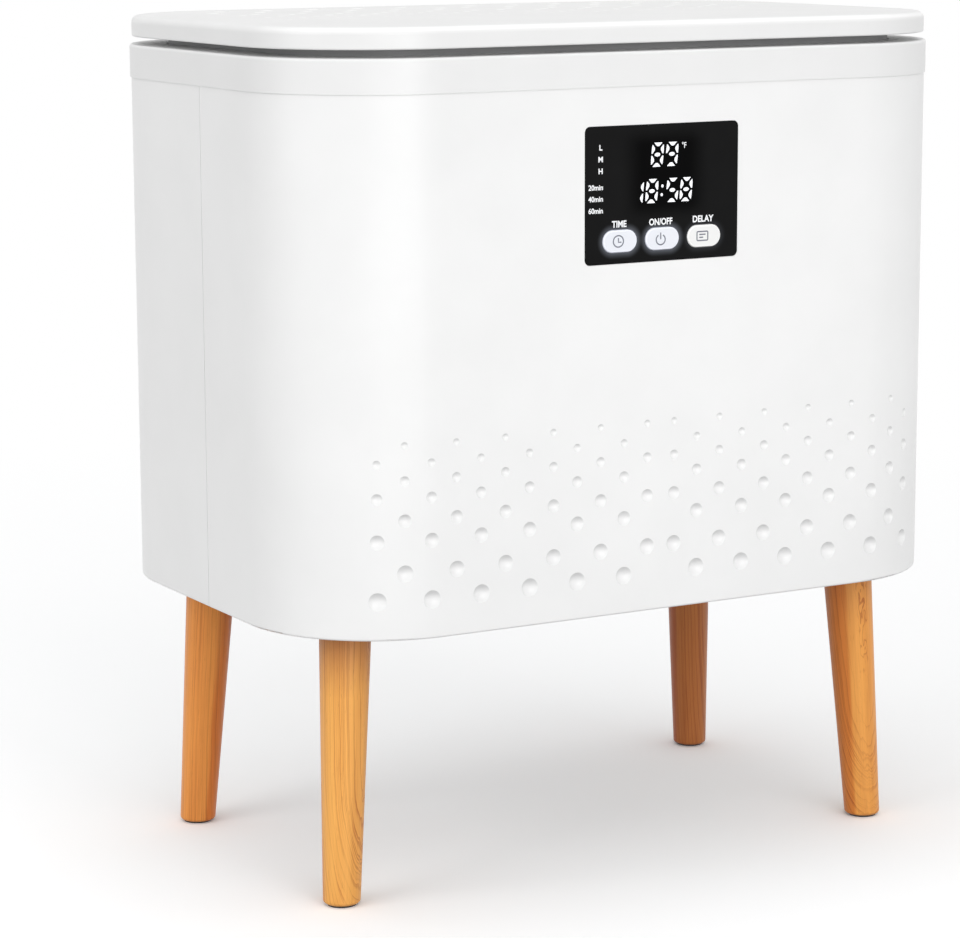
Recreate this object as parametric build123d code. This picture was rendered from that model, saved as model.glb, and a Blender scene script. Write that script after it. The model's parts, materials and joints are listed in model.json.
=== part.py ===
from build123d import *
import math
import os

# Towel warmer bucket: an aluminium bucket in a rounded housing on four splayed wooden legs,
# with a hinged lid and a control panel. Millimetres. X is the width, -Y the front with the
# panel, +Z up, and the floor is at Z = 0. Plans are the housing's outline moved inwards by an
# inset, so each ring below is named by its inset from that outline.

# Clearances between pieces
SLIP = 0.3                  # a piece that drops into another
GRIP = 0.02                 # a screw, pin or insert in the hole that grips it
RUNNING = 0.05              # radial, a hinge pin in the ear that turns on it

# Housing covers
BODY_WIDTH = 400.0
BODY_DEPTH = 266.0
BODY_CORNER = 72.0          # vertical corner radius
BODY_BOTTOM = 145.0         # underside of the covers above the floor
COVER_HEIGHT = 270.6
COVER_WALL = 2.8
COVER_BOTTOM_EDGE = 1.2     # rounding of the lower outer edge
PARTING_Y = -10.0            # seam between the front and the rear cover
PARTING_GAP = 0.35
LAP_WIDTH = 14.0            # strip behind the seam
LAP_THICKNESS = 1.8
LAP_MARGIN = 30.0           # from each end of the seam to the strip

# Posts that join the covers to the rim above and to the base below
POST_RADIUS = 4.0
POST_INSET = 10.7
POST_SIDE_Y = 42.0
POST_BEYOND_PANEL = 15.0
COVER_POST_HEIGHT = 16.0
TAB_DROP = 10.6             # top of a cover's tab below the cover's top edge
TAB_THICKNESS = 3.0
TAB_MARGIN = 1.0            # tab's radius beyond its post's
GUSSET_WIDTH = 4.0

# Shallow dimples, in columns that alternate between two sets of rows
DIMPLE_FIRST = 8.15         # first column from the middle
DIMPLE_PITCH = 14.0
DIMPLE_COLUMNS = 12
EVEN_ROWS = (34.0, 60.6, 80.7, 98.4)
EVEN_SIZES = (8.7, 7.0, 5.2, 3.8)
ODD_ROWS = (20.0, 50.0, 71.7, 89.2)
ODD_SIZES = (9.5, 7.8, 6.0, 4.4)
DIMPLE_DEPTH_RATIO = 0.2
LID_DIMPLE_COLUMNS = 11
LID_DIMPLE_MARGIN = 30.0    # lid's rear edge to the start of the rows
LID_ROW_STRETCH = 1.45
LID_DIMPLE_SHARE = 0.9      # of the diameters on the front cover

# Rim ring
RIM_HEIGHT = 17.4
RIM_PROUD = 0.7
RIM_TOP_WIDTH = 19.7        # outer edge to the mouth
RIM_SKIN = 3.0
RIM_OUTER_WALL = 6.0
RIM_EDGE = 1.4
SPIGOT_DEPTH = 6.0
SPIGOT_THICKNESS = 2.0
LEDGE_DEPTH = 9.0           # rim's top face to the ledge that carries the bucket
LEDGE_REACH = 6.3

# Bucket, heaters and insulation
BAY_HEIGHT = 37.5           # base plate to the bucket's underside
BUCKET_WALL = 1.2
BUCKET_CLEARANCE = 1.5      # to the ledge
FLANGE_CLEARANCE = 0.5      # to the mouth of the rim
FLOOR_FILLET = 12.0
FOIL_THICKNESS = 1.0
FOIL_GAP = 0.1
BAND_FOOT = 22.0            # heater band above the bucket's underside
BAND_HEAD = 61.0            # heater band below the ledge's underside
FELT_THICKNESS = 6.0
FELT_TOP_GAP = 4.0          # below the ledge's underside
PAD_MARGIN = 45.0           # bucket's outline to the heater pad's
RETAINER_THICKNESS = 0.8
RETAINER_MARGIN = 30.0
STUD_RADIUS = 2.0
STUD_LENGTH = 12.0
STUD_SPACING_X = 180.0
STUD_SPACING_Y = 60.0
STUD_HOLE_CLEARANCE = 0.3
NUT_WIDTH = 7.0
NUT_HEIGHT = 3.2
SENSOR_X = 62.0
SENSOR_Y = 30.0
CUTOUT_RADIUS = 8.0
CUTOUT_HEIGHT = 9.0
CUTOUT_FLANGE_RADIUS = 12.0
CUTOUT_TAB = (4.0, 1.0, 6.0)    # width, thickness, length
PROBE_RADIUS = 3.5
PROBE_HEIGHT = 10.0
PROBE_FLANGE_RADIUS = 7.0

# Base plate
BASE_RECESS = 2.5           # underside above the covers' lower edge
BASE_THICKNESS = 3.0
RIB_THICKNESS = 2.0
RIB_HEIGHT = 6.0
RIB_Y = 45.0
LEG_BOSS_RADIUS = 18.0
LEG_BOSS_HEIGHT = 13.0
SLOT_LENGTH = 26.0
SLOT_WIDTH = 3.0
SLOT_PITCH = 9.0
SLOT_COUNT = 6
SLOT_ROW_Y = 72.0

# Legs
FOOT_INSET_X = 35.6         # foot's middle from the housing's side
FOOT_INSET_Y = 44.3         # and from its front or rear
LEG_SPLAY = 8.0             # a foot's step outwards from the leg's top, in X and in Y
LEG_TOP_RADIUS = 13.6
LEG_FOOT_RADIUS = 9.7
LEG_FOOT_EDGE = 1.8
FOOT_PAD_RADIUS = 7.5
FOOT_PAD_THICKNESS = 1.0
BOLT_RADIUS = 4.0
BOLT_IN_LEG = 28.0
INSERT_RADIUS = 6.5

# Power board, on posts that stand on the base plate
BOARD_LENGTH = 120.0
BOARD_WIDTH = 76.0
BOARD_THICKNESS = 1.6
BOARD_CORNER = 1.0
BOARD_X = -42.0
BOARD_POST_HEIGHT = 9.5
BOARD_POST_RADIUS = 3.5
BOARD_HOLE_INSET = 5.0
RELAY_SIZE = (19.0, 15.5, 13.0)
TRANSFORMER_SIZE = (30.0, 26.0, 13.5)
BOBBIN_SHARES = (0.6, 1.2, 0.7)     # of the transformer's core
TERMINAL_SIZE = (9.0, 30.0, 11.0)
CAPACITOR_RADIUS = 5.0
CAPACITOR_HEIGHT = 13.0
CAPACITOR_PITCH = 13.0
BOARD_EDGE_GAP = 3.5        # board's right end to the terminal block
COMPONENT_GAP = 2.5
RELAY_SHARE = 0.5           # middles along Y, as shares of the board's half width
TRANSFORMER_SHARE = 0.35
TERMINAL_SHARE = 0.2
CAPACITOR_SHARE = -0.5

# Control panel, centred on the front cover
PANEL_WIDTH = 91.5
PANEL_HEIGHT = 69.3
PANEL_TOP_DROP = 19.6       # covers' top edge to the panel's
PANEL_CORNER = 3.0
PANEL_PROUD = 0.2
PANEL_CLEARANCE = 0.25
CUT_PAST = 1.0              # a cut beyond the faces it goes through
LENS_THICKNESS = 2.0
FRAME_THICKNESS = 2.0
FRAME_FLANGE = 4.5
DISPLAY_WIDTH = 46.0
DISPLAY_HEIGHT = 40.0
DISPLAY_CENTRE_RISE = 10.2  # above the panel's middle
BUTTON_WIDTH = 20.2
BUTTON_HEIGHT = 11.3
BUTTON_PITCH = 25.3
BUTTON_RISE = 11.3          # buttons' middle above the panel's lower edge
BUTTON_PROUD = 0.4
BUTTON_LENGTH = 7.5
BUTTON_EDGE = 0.7
BUTTON_FLANGE = 1.4
BUTTON_FLANGE_THICKNESS = 1.0
BUTTON_TRAVEL = 1.0
SWITCH_GAP = 0.1            # plunger to button when the button is pressed home
SWITCH_WIDTH = 6.0
SWITCH_BODY = 3.6
SWITCH_CORNER = 0.5
PLUNGER_RADIUS = 1.7
PLUNGER_LENGTH = 1.2
CONTROL_BOARD_MARGIN = 3.0  # panel's outline to the control board's
CONTROL_POST_RADIUS = 2.5
CONTROL_HOLE_INSET = 4.0
LED_RADIUS = 1.2
LED_LENGTH = 2.5
LEVEL_LED_X = -36.8
LEVEL_LED_DROPS = (10.2, 16.3, 22.1, 30.3, 36.2, 42.0)

# Ribbon cable from the control board to the power board
RIBBON_WIDTH = 12.0
RIBBON_THICKNESS = 1.0
RIBBON_BEND = 8.0
RIBBON_DROP = 15.0          # ribbon's middle below the bucket's underside
PLUG_DEPTH = 5.0
PLUG_HEIGHT = 6.0
PLUG_MARGIN = 1.0           # each side of the ribbon

# Cord gland in the base plate
GLAND_X = 88.0
GLAND_REAR_INSET = 24.0
GLAND_BORE = 3.6
GLAND_NECK = 6.0
GLAND_FLANGE = 9.0
GLAND_FLANGE_THICKNESS = 1.8
GLAND_NUT = 8.5
GLAND_NUT_THICKNESS = 4.0

# Lid
LID_GAP = 4.0               # rim's top face to the lid's lower edge
LID_THICKNESS = 11.0
LID_INSET = 1.3             # from the rim's outer edge
LID_WALL = 2.5
LID_SKIN = 2.5
LID_TOP_EDGE = 3.7
LID_BOTTOM_EDGE = 0.9
LID_BASE_RECESS = 1.0
LID_BASE_THICKNESS = 2.0
LID_BOSS_RADIUS = 3.5
COLLAR_CLEARANCE = 1.0      # to the mouth of the rim
COLLAR_WALL = 2.5
COLLAR_FLOOR = 2.0
GASKET_STEP = 1.0
GASKET_WIDTH = 9.0
GASKET_HEIGHT = 3.6
GASKET_GAP = 0.4            # above the bucket's flange when the lid is shut
COLLAR_BOSS_RADIUS = 3.2
COLLAR_BOSS_INSET = 9.0     # collar's outline to its screws
FOAM_GAP = 0.2

# Hinges
HINGE_SPACING = 210.0
HINGE_AXIS_INSET = 7.0      # from the housing's rear
EAR_ROOM = 0.7              # an ear below the lid's skin
PIN_RADIUS = 1.25
EAR_RADIUS = 2.6
EAR_WIDTH = 8.0
KNUCKLE_WIDTH = 7.0
LEAF_THICKNESS = 1.6
LEAF_LENGTH = 23.0
LEAF_GAP = 0.1              # leaf above the lid's base
NOTCH_CLEARANCE = 0.6
BRACKET_WIDTH = 24.0
BRACKET_DEPTH = 12.0
BRACKET_THICKNESS = 2.0
BRACKET_SCREW_X = 8.0
PIN_HEAD_RADIUS = 2.0
PIN_HEAD_THICKNESS = 0.5

# Screws: shank radius, head radius, head height
SMALL_SCREW = (1.1, 2.1, 1.2)
SCREW = (1.5, 2.9, 1.6)
DRIVE_WIDTH_SHARE = 0.3     # cross recess in a head, as a share of the head's radius
SCREW_LENGTH = 11.0
LID_SCREW_LENGTH = 6.5
COLLAR_SCREW_LENGTH = 6.5
BRACKET_SCREW_RISE = 1.0    # a bracket screw's tip above the ledge

# Heights above the floor
COVER_TOP = BODY_BOTTOM + COVER_HEIGHT
RIM_TOP = COVER_TOP + RIM_HEIGHT
LEDGE_TOP = RIM_TOP - LEDGE_DEPTH
LEDGE_UNDERSIDE = LEDGE_TOP - RIM_SKIN
FLANGE_TOP = LEDGE_TOP + BUCKET_WALL
BASE_UNDERSIDE = BODY_BOTTOM + BASE_RECESS
BASE_TOP = BASE_UNDERSIDE + BASE_THICKNESS
BUCKET_UNDERSIDE = BASE_TOP + BAY_HEIGHT
BUCKET_FLOOR = BUCKET_UNDERSIDE + BUCKET_WALL
FOIL_UNDERSIDE = BUCKET_UNDERSIDE - FOIL_THICKNESS
FELT_UNDERSIDE = FOIL_UNDERSIDE - FELT_THICKNESS
RETAINER_UNDERSIDE = FELT_UNDERSIDE - RETAINER_THICKNESS
TAB_TOP = COVER_TOP - TAB_DROP
BOARD_UNDERSIDE = BASE_TOP + BOARD_POST_HEIGHT
BOARD_TOP = BOARD_UNDERSIDE + BOARD_THICKNESS
LEG_BOSS_TOP = BASE_TOP + LEG_BOSS_HEIGHT
LID_BOTTOM = RIM_TOP + LID_GAP
LID_TOP = LID_BOTTOM + LID_THICKNESS
LID_SKIN_UNDERSIDE = LID_TOP - LID_SKIN
LID_BASE_UNDERSIDE = LID_BOTTOM + LID_BASE_RECESS
LID_BASE_TOP = LID_BASE_UNDERSIDE + LID_BASE_THICKNESS
GASKET_BOTTOM = FLANGE_TOP + GASKET_GAP
COLLAR_BOTTOM = GASKET_BOTTOM + GASKET_HEIGHT
HINGE_Z = LID_SKIN_UNDERSIDE - EAR_ROOM - EAR_RADIUS
LEAF_BOTTOM = LID_BASE_TOP + LEAF_GAP
PANEL_TOP = COVER_TOP - PANEL_TOP_DROP
PANEL_MIDDLE = PANEL_TOP - PANEL_HEIGHT / 2
BUTTON_Z = PANEL_TOP - PANEL_HEIGHT + BUTTON_RISE
DISPLAY_Z = PANEL_MIDDLE + DISPLAY_CENTRE_RISE

# Insets from the housing's outline
RIM_OUTSIDE = -RIM_PROUD
MOUTH = RIM_OUTSIDE + RIM_TOP_WIDTH
LEDGE_INSIDE = MOUTH + LEDGE_REACH
FLANGE_OUTSIDE = MOUTH + FLANGE_CLEARANCE
BUCKET_OUTSIDE = LEDGE_INSIDE + BUCKET_CLEARANCE
BUCKET_INSIDE = BUCKET_OUTSIDE + BUCKET_WALL
BAND_INSIDE = BUCKET_OUTSIDE - FOIL_GAP
BAND_OUTSIDE = BAND_INSIDE - FOIL_THICKNESS
FELT_INSIDE = BAND_OUTSIDE - FOIL_GAP
FELT_OUTSIDE = FELT_INSIDE - FELT_THICKNESS
LID_OUTSIDE = RIM_OUTSIDE + LID_INSET
COLLAR_OUTSIDE = MOUTH + COLLAR_CLEARANCE
GASKET_OUTSIDE = COLLAR_OUTSIDE + GASKET_STEP
LID_BASE_OUTSIDE = LID_OUTSIDE + LID_WALL + SLIP
LID_SCREW_INSET = (LID_BASE_OUTSIDE + COLLAR_OUTSIDE) / 2

# Depths of the panel's layers, from the front face backwards
FRONT_Y = -BODY_DEPTH / 2
COVER_BACK = FRONT_Y + COVER_WALL
LENS_FRONT = FRONT_Y - PANEL_PROUD
LENS_BACK = LENS_FRONT + LENS_THICKNESS
FLANGE_FRONT = COVER_BACK + SLIP / 2
FRAME_BACK = FLANGE_FRONT + FRAME_THICKNESS
BUTTON_FRONT = LENS_FRONT - BUTTON_PROUD
BUTTON_BACK = BUTTON_FRONT + BUTTON_LENGTH
PLUNGER_TIP = BUTTON_BACK + BUTTON_TRAVEL + SWITCH_GAP
CONTROL_FRONT = PLUNGER_TIP + PLUNGER_LENGTH + SWITCH_BODY
CONTROL_BACK = CONTROL_FRONT + BOARD_THICKNESS
RIBBON_Y = CONTROL_BACK + PLUG_DEPTH / 2

# Plan positions
POST_X = BODY_WIDTH / 2 - POST_INSET
POST_Y = BODY_DEPTH / 2 - POST_INSET
POST_FRONT_X = PANEL_WIDTH / 2 + POST_BEYOND_PANEL
FOOT_X = BODY_WIDTH / 2 - FOOT_INSET_X
FOOT_Y = BODY_DEPTH / 2 - FOOT_INSET_Y
LEG_X = FOOT_X - LEG_SPLAY
LEG_Y = FOOT_Y - LEG_SPLAY
HINGE_Y = BODY_DEPTH / 2 - HINGE_AXIS_INSET
HINGE_HALF = EAR_WIDTH / 2 + SLIP + KNUCKLE_WIDTH
GLAND_Y = BODY_DEPTH / 2 - GLAND_REAR_INSET
BOTH = (-1, 1)
LOW = (Align.CENTER, Align.CENTER, Align.MIN)


def outline_block(inset, bottom, top):
    """Upright block whose plan is the housing's outline moved inwards."""
    plan = RectangleRounded(BODY_WIDTH - 2 * inset, BODY_DEPTH - 2 * inset, BODY_CORNER - inset)
    return Pos(0, 0, bottom) * extrude(plan, amount=top - bottom)


def outline_ring(outside, inside, bottom, top):
    """Upright ring between two insets."""
    return outline_block(outside, bottom, top) - outline_block(inside, bottom, top)


def block(low, high):
    """Box between two opposite corners."""
    size = [b - a for a, b in zip(low, high)]
    middle = [(a + b) / 2 for a, b in zip(low, high)]
    return Pos(*middle) * Box(*size)


def post(x, y, radius, bottom, top):
    """Upright cylinder."""
    return Pos(x, y, bottom) * Cylinder(radius, top - bottom, align=LOW)


def front_plate(width, height, corner, front, back, x, z):
    """Rounded plate that stands upright, facing the front."""
    plan = Plane.XZ * RectangleRounded(width, height, corner)
    return Pos(x, back, z) * extrude(plan, amount=back - front)


def front_slot(width, height, front, back, x, z):
    """Capsule-shaped plate that stands upright, facing the front."""
    plan = Plane.XZ * SlotOverall(width, height)
    return Pos(x, back, z) * extrude(plan, amount=back - front)


def front_pin(x, z, radius, front, back):
    """Cylinder whose axis runs from front to back."""
    return Pos(x, back, z) * Rot(90, 0, 0) * Cylinder(radius, back - front, align=LOW)


def group(shapes):
    """Separate solids kept as one piece."""
    return Compound([solid for shape in shapes for solid in shape.solids()])


def screw(kind, length):
    """Pan-head screw with its seat at the origin, shank upwards and head below."""
    shank, head, height = kind
    slot = 2 * head * DRIVE_WIDTH_SHARE
    body = Cylinder(shank, length, align=LOW) + Pos(0, 0, -height) * Cylinder(head, height, align=LOW)
    cross = Box(slot / 2, 2 * slot, height) + Box(2 * slot, slot / 2, height)
    return body - Pos(0, 0, -height) * cross


def dimple(x, y, z, direction, size):
    """Ball that leaves a shallow round hollow of the given diameter in a surface."""
    depth = size * DIMPLE_DEPTH_RATIO
    radius = (size * size / 4 + depth * depth) / (2 * depth)
    centre = Vector(x, y, z) + Vector(*direction) * (radius - depth)
    return Pos(*centre) * Sphere(radius)


def post_places(side):
    """Plan positions of the posts on the front (-1) or rear (+1) cover."""
    places = [(sign * POST_X, side * POST_SIDE_Y) for sign in BOTH]
    return places + [(sign * POST_FRONT_X, side * POST_Y) for sign in BOTH]


def all_post_places():
    return [place for side in BOTH for place in post_places(side)]


def gusset(x, y, bottom, top):
    """Web that ties a post to the nearest wall of its cover."""
    reach = POST_INSET - COVER_WALL / 2
    if abs(x) == POST_X:
        wall_x = x + math.copysign(reach, x)
        return block((min(x, wall_x), y - GUSSET_WIDTH / 2, bottom),
                     (max(x, wall_x), y + GUSSET_WIDTH / 2, top))
    wall_y = y + math.copysign(reach, y)
    return block((x - GUSSET_WIDTH / 2, min(y, wall_y), bottom),
                 (x + GUSSET_WIDTH / 2, max(y, wall_y), top))


def cover_post(x, y):
    """Post that the base plate's screw enters from below."""
    top = BASE_TOP + COVER_POST_HEIGHT
    solid = post(x, y, POST_RADIUS, BASE_TOP, top) + gusset(x, y, BASE_TOP, top)
    return solid - post(x, y, SCREW[0] + GRIP, BASE_TOP, top - RIM_SKIN)


def cover_tab(x, y):
    """Tab that the rim's post stands on, with a hole for its screw."""
    bottom = TAB_TOP - TAB_THICKNESS
    solid = post(x, y, POST_RADIUS + TAB_MARGIN, bottom, TAB_TOP)
    web = gusset(x, y, bottom, TAB_TOP)
    return solid + web - post(x, y, SCREW[0] + SLIP, bottom, TAB_TOP)


def cover_shell(side):
    """Plain wall of the front (-1) or rear (+1) cover, with its posts and tabs."""
    outside = outline_block(0, BODY_BOTTOM, COVER_TOP)
    outside = fillet(outside.edges().group_by(Axis.Z)[0], COVER_BOTTOM_EDGE)
    shell = outside - outline_block(COVER_WALL, BODY_BOTTOM, COVER_TOP)
    seam = PARTING_Y + side * PARTING_GAP / 2
    far = side * BODY_DEPTH
    half = block((-BODY_WIDTH, min(seam, far), 0), (BODY_WIDTH, max(seam, far), RIM_TOP))
    shell = shell & half
    for x, y in post_places(side):
        shell = shell + cover_post(x, y) + cover_tab(x, y)
    return shell


def seam_lap(sign):
    """Strip on the front cover that reaches behind the rear cover at one side."""
    outside = BODY_WIDTH / 2 - COVER_WALL - SLIP
    bottom, top = BODY_BOTTOM + LAP_MARGIN, COVER_TOP - LAP_MARGIN
    seam = PARTING_Y - PARTING_GAP / 2
    strip = block((outside - LAP_THICKNESS, seam - LAP_WIDTH / 2, bottom),
                  (outside, seam + LAP_WIDTH / 2, top))
    root = block((outside - LAP_THICKNESS, seam - LAP_WIDTH / 2, bottom),
                 (outside + SLIP + COVER_WALL / 2, seam - SLIP, top))
    lap = strip + root
    return lap if sign > 0 else mirror(lap, about=Plane.YZ)


def front_point(distance):
    """Point and outward direction at a distance along the front's outline from its middle."""
    flat = BODY_WIDTH / 2 - BODY_CORNER
    sign = math.copysign(1, distance)
    if abs(distance) <= flat:
        return distance, FRONT_Y, (0, -1, 0)
    angle = (abs(distance) - flat) / BODY_CORNER
    across, back = math.sin(angle), math.cos(angle)
    x = sign * (flat + BODY_CORNER * across)
    return x, FRONT_Y + BODY_CORNER * (1 - back), (sign * across, -back, 0)


def dimple_rows(column):
    """Row heights and diameters of one column."""
    if column % 2 == 0:
        return zip(EVEN_ROWS, EVEN_SIZES)
    return zip(ODD_ROWS, ODD_SIZES)


def front_dimples():
    balls = []
    for sign in BOTH:
        for column in range(DIMPLE_COLUMNS):
            x, y, direction = front_point(sign * (DIMPLE_FIRST + column * DIMPLE_PITCH))
            for height, size in dimple_rows(column):
                balls.append(dimple(x, y, BODY_BOTTOM + height, direction, size))
    return balls


def lid_dimples():
    rear = BODY_DEPTH / 2 - LID_DIMPLE_MARGIN
    balls = []
    for sign in BOTH:
        for column in range(LID_DIMPLE_COLUMNS):
            x = sign * (DIMPLE_FIRST + column * DIMPLE_PITCH)
            for height, size in dimple_rows(column):
                y = rear - (height - ODD_ROWS[0]) * LID_ROW_STRETCH
                balls.append(dimple(x, y, LID_TOP, (0, 0, 1), size * LID_DIMPLE_SHARE))
    return balls


def front_cover():
    shell = cover_shell(-1) + seam_lap(-1) + seam_lap(1)
    window = front_plate(PANEL_WIDTH + 2 * PANEL_CLEARANCE, PANEL_HEIGHT + 2 * PANEL_CLEARANCE,
                         PANEL_CORNER, FRONT_Y - CUT_PAST, COVER_BACK + CUT_PAST, 0, PANEL_MIDDLE)
    return shell - window - front_dimples()


def rear_cover():
    return cover_shell(1)


def rim_posts():
    """Posts under the rim that stand on the covers' tabs."""
    posts = []
    for x, y in all_post_places():
        column = post(x, y, POST_RADIUS, TAB_TOP, RIM_TOP - RIM_SKIN / 2)
        posts.append(column - post(x, y, SCREW[0] + GRIP, TAB_TOP, TAB_TOP + SCREW_LENGTH))
    return posts


def bracket_block(sign, low, high):
    """Space of a hinge bracket's foot between two heights."""
    x = sign * HINGE_SPACING / 2
    return block((x - BRACKET_WIDTH / 2, HINGE_Y - BRACKET_DEPTH + EAR_RADIUS, low),
                 (x + BRACKET_WIDTH / 2, HINGE_Y + EAR_RADIUS, high))


def bracket_screw_places(sign):
    x = sign * HINGE_SPACING / 2
    y = HINGE_Y + EAR_RADIUS - BRACKET_DEPTH / 2
    return [(x + side * BRACKET_SCREW_X, y) for side in BOTH]


def rim_ring():
    outside = outline_block(RIM_OUTSIDE, COVER_TOP, RIM_TOP)
    outside = fillet(outside.edges().group_by(Axis.Z)[-1], RIM_EDGE)
    ring = outside - outline_block(MOUTH, COVER_TOP, RIM_TOP)
    ring = ring - outline_ring(RIM_OUTSIDE + RIM_OUTER_WALL, MOUTH - RIM_SKIN,
                               COVER_TOP, RIM_TOP - RIM_SKIN)
    ring = ring - outline_ring(MOUTH - RIM_SKIN, MOUTH, COVER_TOP, LEDGE_UNDERSIDE)
    ring = ring + outline_ring(MOUTH - RIM_SKIN, LEDGE_INSIDE, LEDGE_UNDERSIDE, LEDGE_TOP)
    spigot = COVER_WALL + SLIP
    ring = ring + outline_ring(spigot, spigot + SPIGOT_THICKNESS, COVER_TOP - SPIGOT_DEPTH,
                               COVER_TOP + RIM_SKIN)
    for column in rim_posts():
        ring = ring + column
    foot = RIM_TOP - BRACKET_THICKNESS
    for sign in BOTH:
        ring = ring + bracket_block(sign, LEDGE_UNDERSIDE, RIM_TOP - RIM_SKIN)
        ring = ring - bracket_block(sign, foot, RIM_TOP)
        for x, y in bracket_screw_places(sign):
            ring = ring - post(x, y, SMALL_SCREW[0] + GRIP, LEDGE_TOP, foot)
    return ring


def rim_screws():
    seat = TAB_TOP - TAB_THICKNESS
    return group(Pos(x, y, seat) * screw(SCREW, SCREW_LENGTH) for x, y in all_post_places())


def stud_places():
    return [(a * STUD_SPACING_X / 2, b * STUD_SPACING_Y / 2) for a in BOTH for b in BOTH]


def inner_bucket():
    outside = outline_block(BUCKET_OUTSIDE, BUCKET_UNDERSIDE, FLANGE_TOP)
    outside = fillet(outside.edges().group_by(Axis.Z)[0], FLOOR_FILLET)
    inside = outline_block(BUCKET_INSIDE, BUCKET_FLOOR, FLANGE_TOP)
    inside = fillet(inside.edges().group_by(Axis.Z)[0], FLOOR_FILLET - BUCKET_WALL)
    flange = outline_ring(FLANGE_OUTSIDE, BUCKET_INSIDE, LEDGE_TOP, FLANGE_TOP)
    bucket = outside + flange - inside
    for x, y in stud_places():
        bucket = bucket + post(x, y, STUD_RADIUS, BUCKET_UNDERSIDE - STUD_LENGTH, BUCKET_UNDERSIDE)
    return bucket


def heater_band():
    foot = BUCKET_UNDERSIDE + BAND_FOOT
    return outline_ring(BAND_OUTSIDE, BAND_INSIDE, foot, LEDGE_UNDERSIDE - BAND_HEAD)


def insulation_sleeve():
    return outline_ring(FELT_OUTSIDE, FELT_INSIDE, BUCKET_UNDERSIDE, LEDGE_UNDERSIDE - FELT_TOP_GAP)


def under_bucket(margin, bottom, top):
    """Layer under the bucket, with holes for the studs and for both sensors."""
    layer = outline_block(BUCKET_OUTSIDE + margin, bottom, top)
    for x, y in stud_places():
        layer = layer - post(x, y, STUD_RADIUS + STUD_HOLE_CLEARANCE, bottom, top)
    layer = layer - post(SENSOR_X, SENSOR_Y, CUTOUT_RADIUS + SLIP, bottom, top)
    return layer - post(SENSOR_X, -SENSOR_Y, PROBE_RADIUS + SLIP, bottom, top)


def heater_pad():
    return under_bucket(PAD_MARGIN, FOIL_UNDERSIDE, BUCKET_UNDERSIDE)


def insulation_pad():
    return under_bucket(FLOOR_FILLET, FELT_UNDERSIDE, FOIL_UNDERSIDE)


def retainer_plate():
    return under_bucket(RETAINER_MARGIN, RETAINER_UNDERSIDE, FELT_UNDERSIDE)


def retainer_nuts():
    nut = extrude(RegularPolygon(NUT_WIDTH / 2, 6, major_radius=False), amount=-NUT_HEIGHT)
    nut = nut - Pos(0, 0, -NUT_HEIGHT) * Cylinder(STUD_RADIUS + GRIP, NUT_HEIGHT, align=LOW)
    return group(Pos(x, y, RETAINER_UNDERSIDE) * nut for x, y in stud_places())


def thermal_cutout():
    """Disc thermostat held to the bucket's underside by its flange under the retainer."""
    x, y = SENSOR_X, SENSOR_Y
    top = BUCKET_UNDERSIDE - FOIL_GAP
    low = top - CUTOUT_HEIGHT
    body = post(x, y, CUTOUT_RADIUS, low, top)
    flange = post(x, y, CUTOUT_FLANGE_RADIUS, low, RETAINER_UNDERSIDE)
    for sign in BOTH:
        tab_x = x + sign * CUTOUT_RADIUS / 2
        body = body + Pos(tab_x, y, low - CUTOUT_TAB[2]) * Box(*CUTOUT_TAB, align=LOW)
    return body + flange


def temperature_probe():
    top = BUCKET_UNDERSIDE - FOIL_GAP
    probe = post(SENSOR_X, -SENSOR_Y, PROBE_RADIUS, top - PROBE_HEIGHT, top)
    flange = post(SENSOR_X, -SENSOR_Y, PROBE_FLANGE_RADIUS, top - PROBE_HEIGHT, RETAINER_UNDERSIDE)
    return probe + flange


def leg_axis(sign_x, sign_y):
    """Foot, top and unit direction of one leg's axis."""
    foot = Vector(sign_x * FOOT_X, sign_y * FOOT_Y, 0)
    top = Vector(sign_x * LEG_X, sign_y * LEG_Y, BASE_UNDERSIDE)
    return foot, top, (top - foot).normalized()


def along(point, direction, start, end, radius):
    """Cylinder along a tilted axis, between two distances from a point."""
    plane = Plane(origin=point + direction * start, z_dir=direction)
    return plane * Cylinder(radius, end - start, align=LOW)


def between(bottom, top):
    """Everything between two heights."""
    return block((-BODY_WIDTH, -BODY_DEPTH, bottom), (BODY_WIDTH, BODY_DEPTH, top))


def leg(sign_x, sign_y):
    """Tapered leg, cut level at the floor and under the base plate."""
    foot, top, direction = leg_axis(sign_x, sign_y)
    length = (top - foot).length
    spare = LEG_FOOT_RADIUS
    taper = (LEG_TOP_RADIUS - LEG_FOOT_RADIUS) / length
    plane = Plane(origin=foot - direction * spare, z_dir=direction)
    cone = Cone(LEG_FOOT_RADIUS - taper * spare, LEG_TOP_RADIUS + taper * spare,
                length + 2 * spare, align=LOW)
    solid = (plane * cone) & between(FOOT_PAD_THICKNESS, BASE_UNDERSIDE)
    solid = fillet(solid.edges().group_by(Axis.Z)[0], LEG_FOOT_EDGE)
    return solid - along(top, direction, -BOLT_IN_LEG, spare, BOLT_RADIUS + GRIP)


def four_legs():
    return [(a, b) for b in BOTH for a in BOTH]


def foot_pads():
    return group(post(a * FOOT_X, b * FOOT_Y, FOOT_PAD_RADIUS, 0, FOOT_PAD_THICKNESS)
                 for a, b in four_legs())


def hanger_bolts():
    bolts = []
    for signs in four_legs():
        top, direction = leg_axis(*signs)[1:]
        bolt = along(top, direction, -BOLT_IN_LEG, 2 * LEG_BOSS_HEIGHT, BOLT_RADIUS)
        bolts.append(bolt & between(0, LEG_BOSS_TOP))
    return group(bolts)


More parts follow.
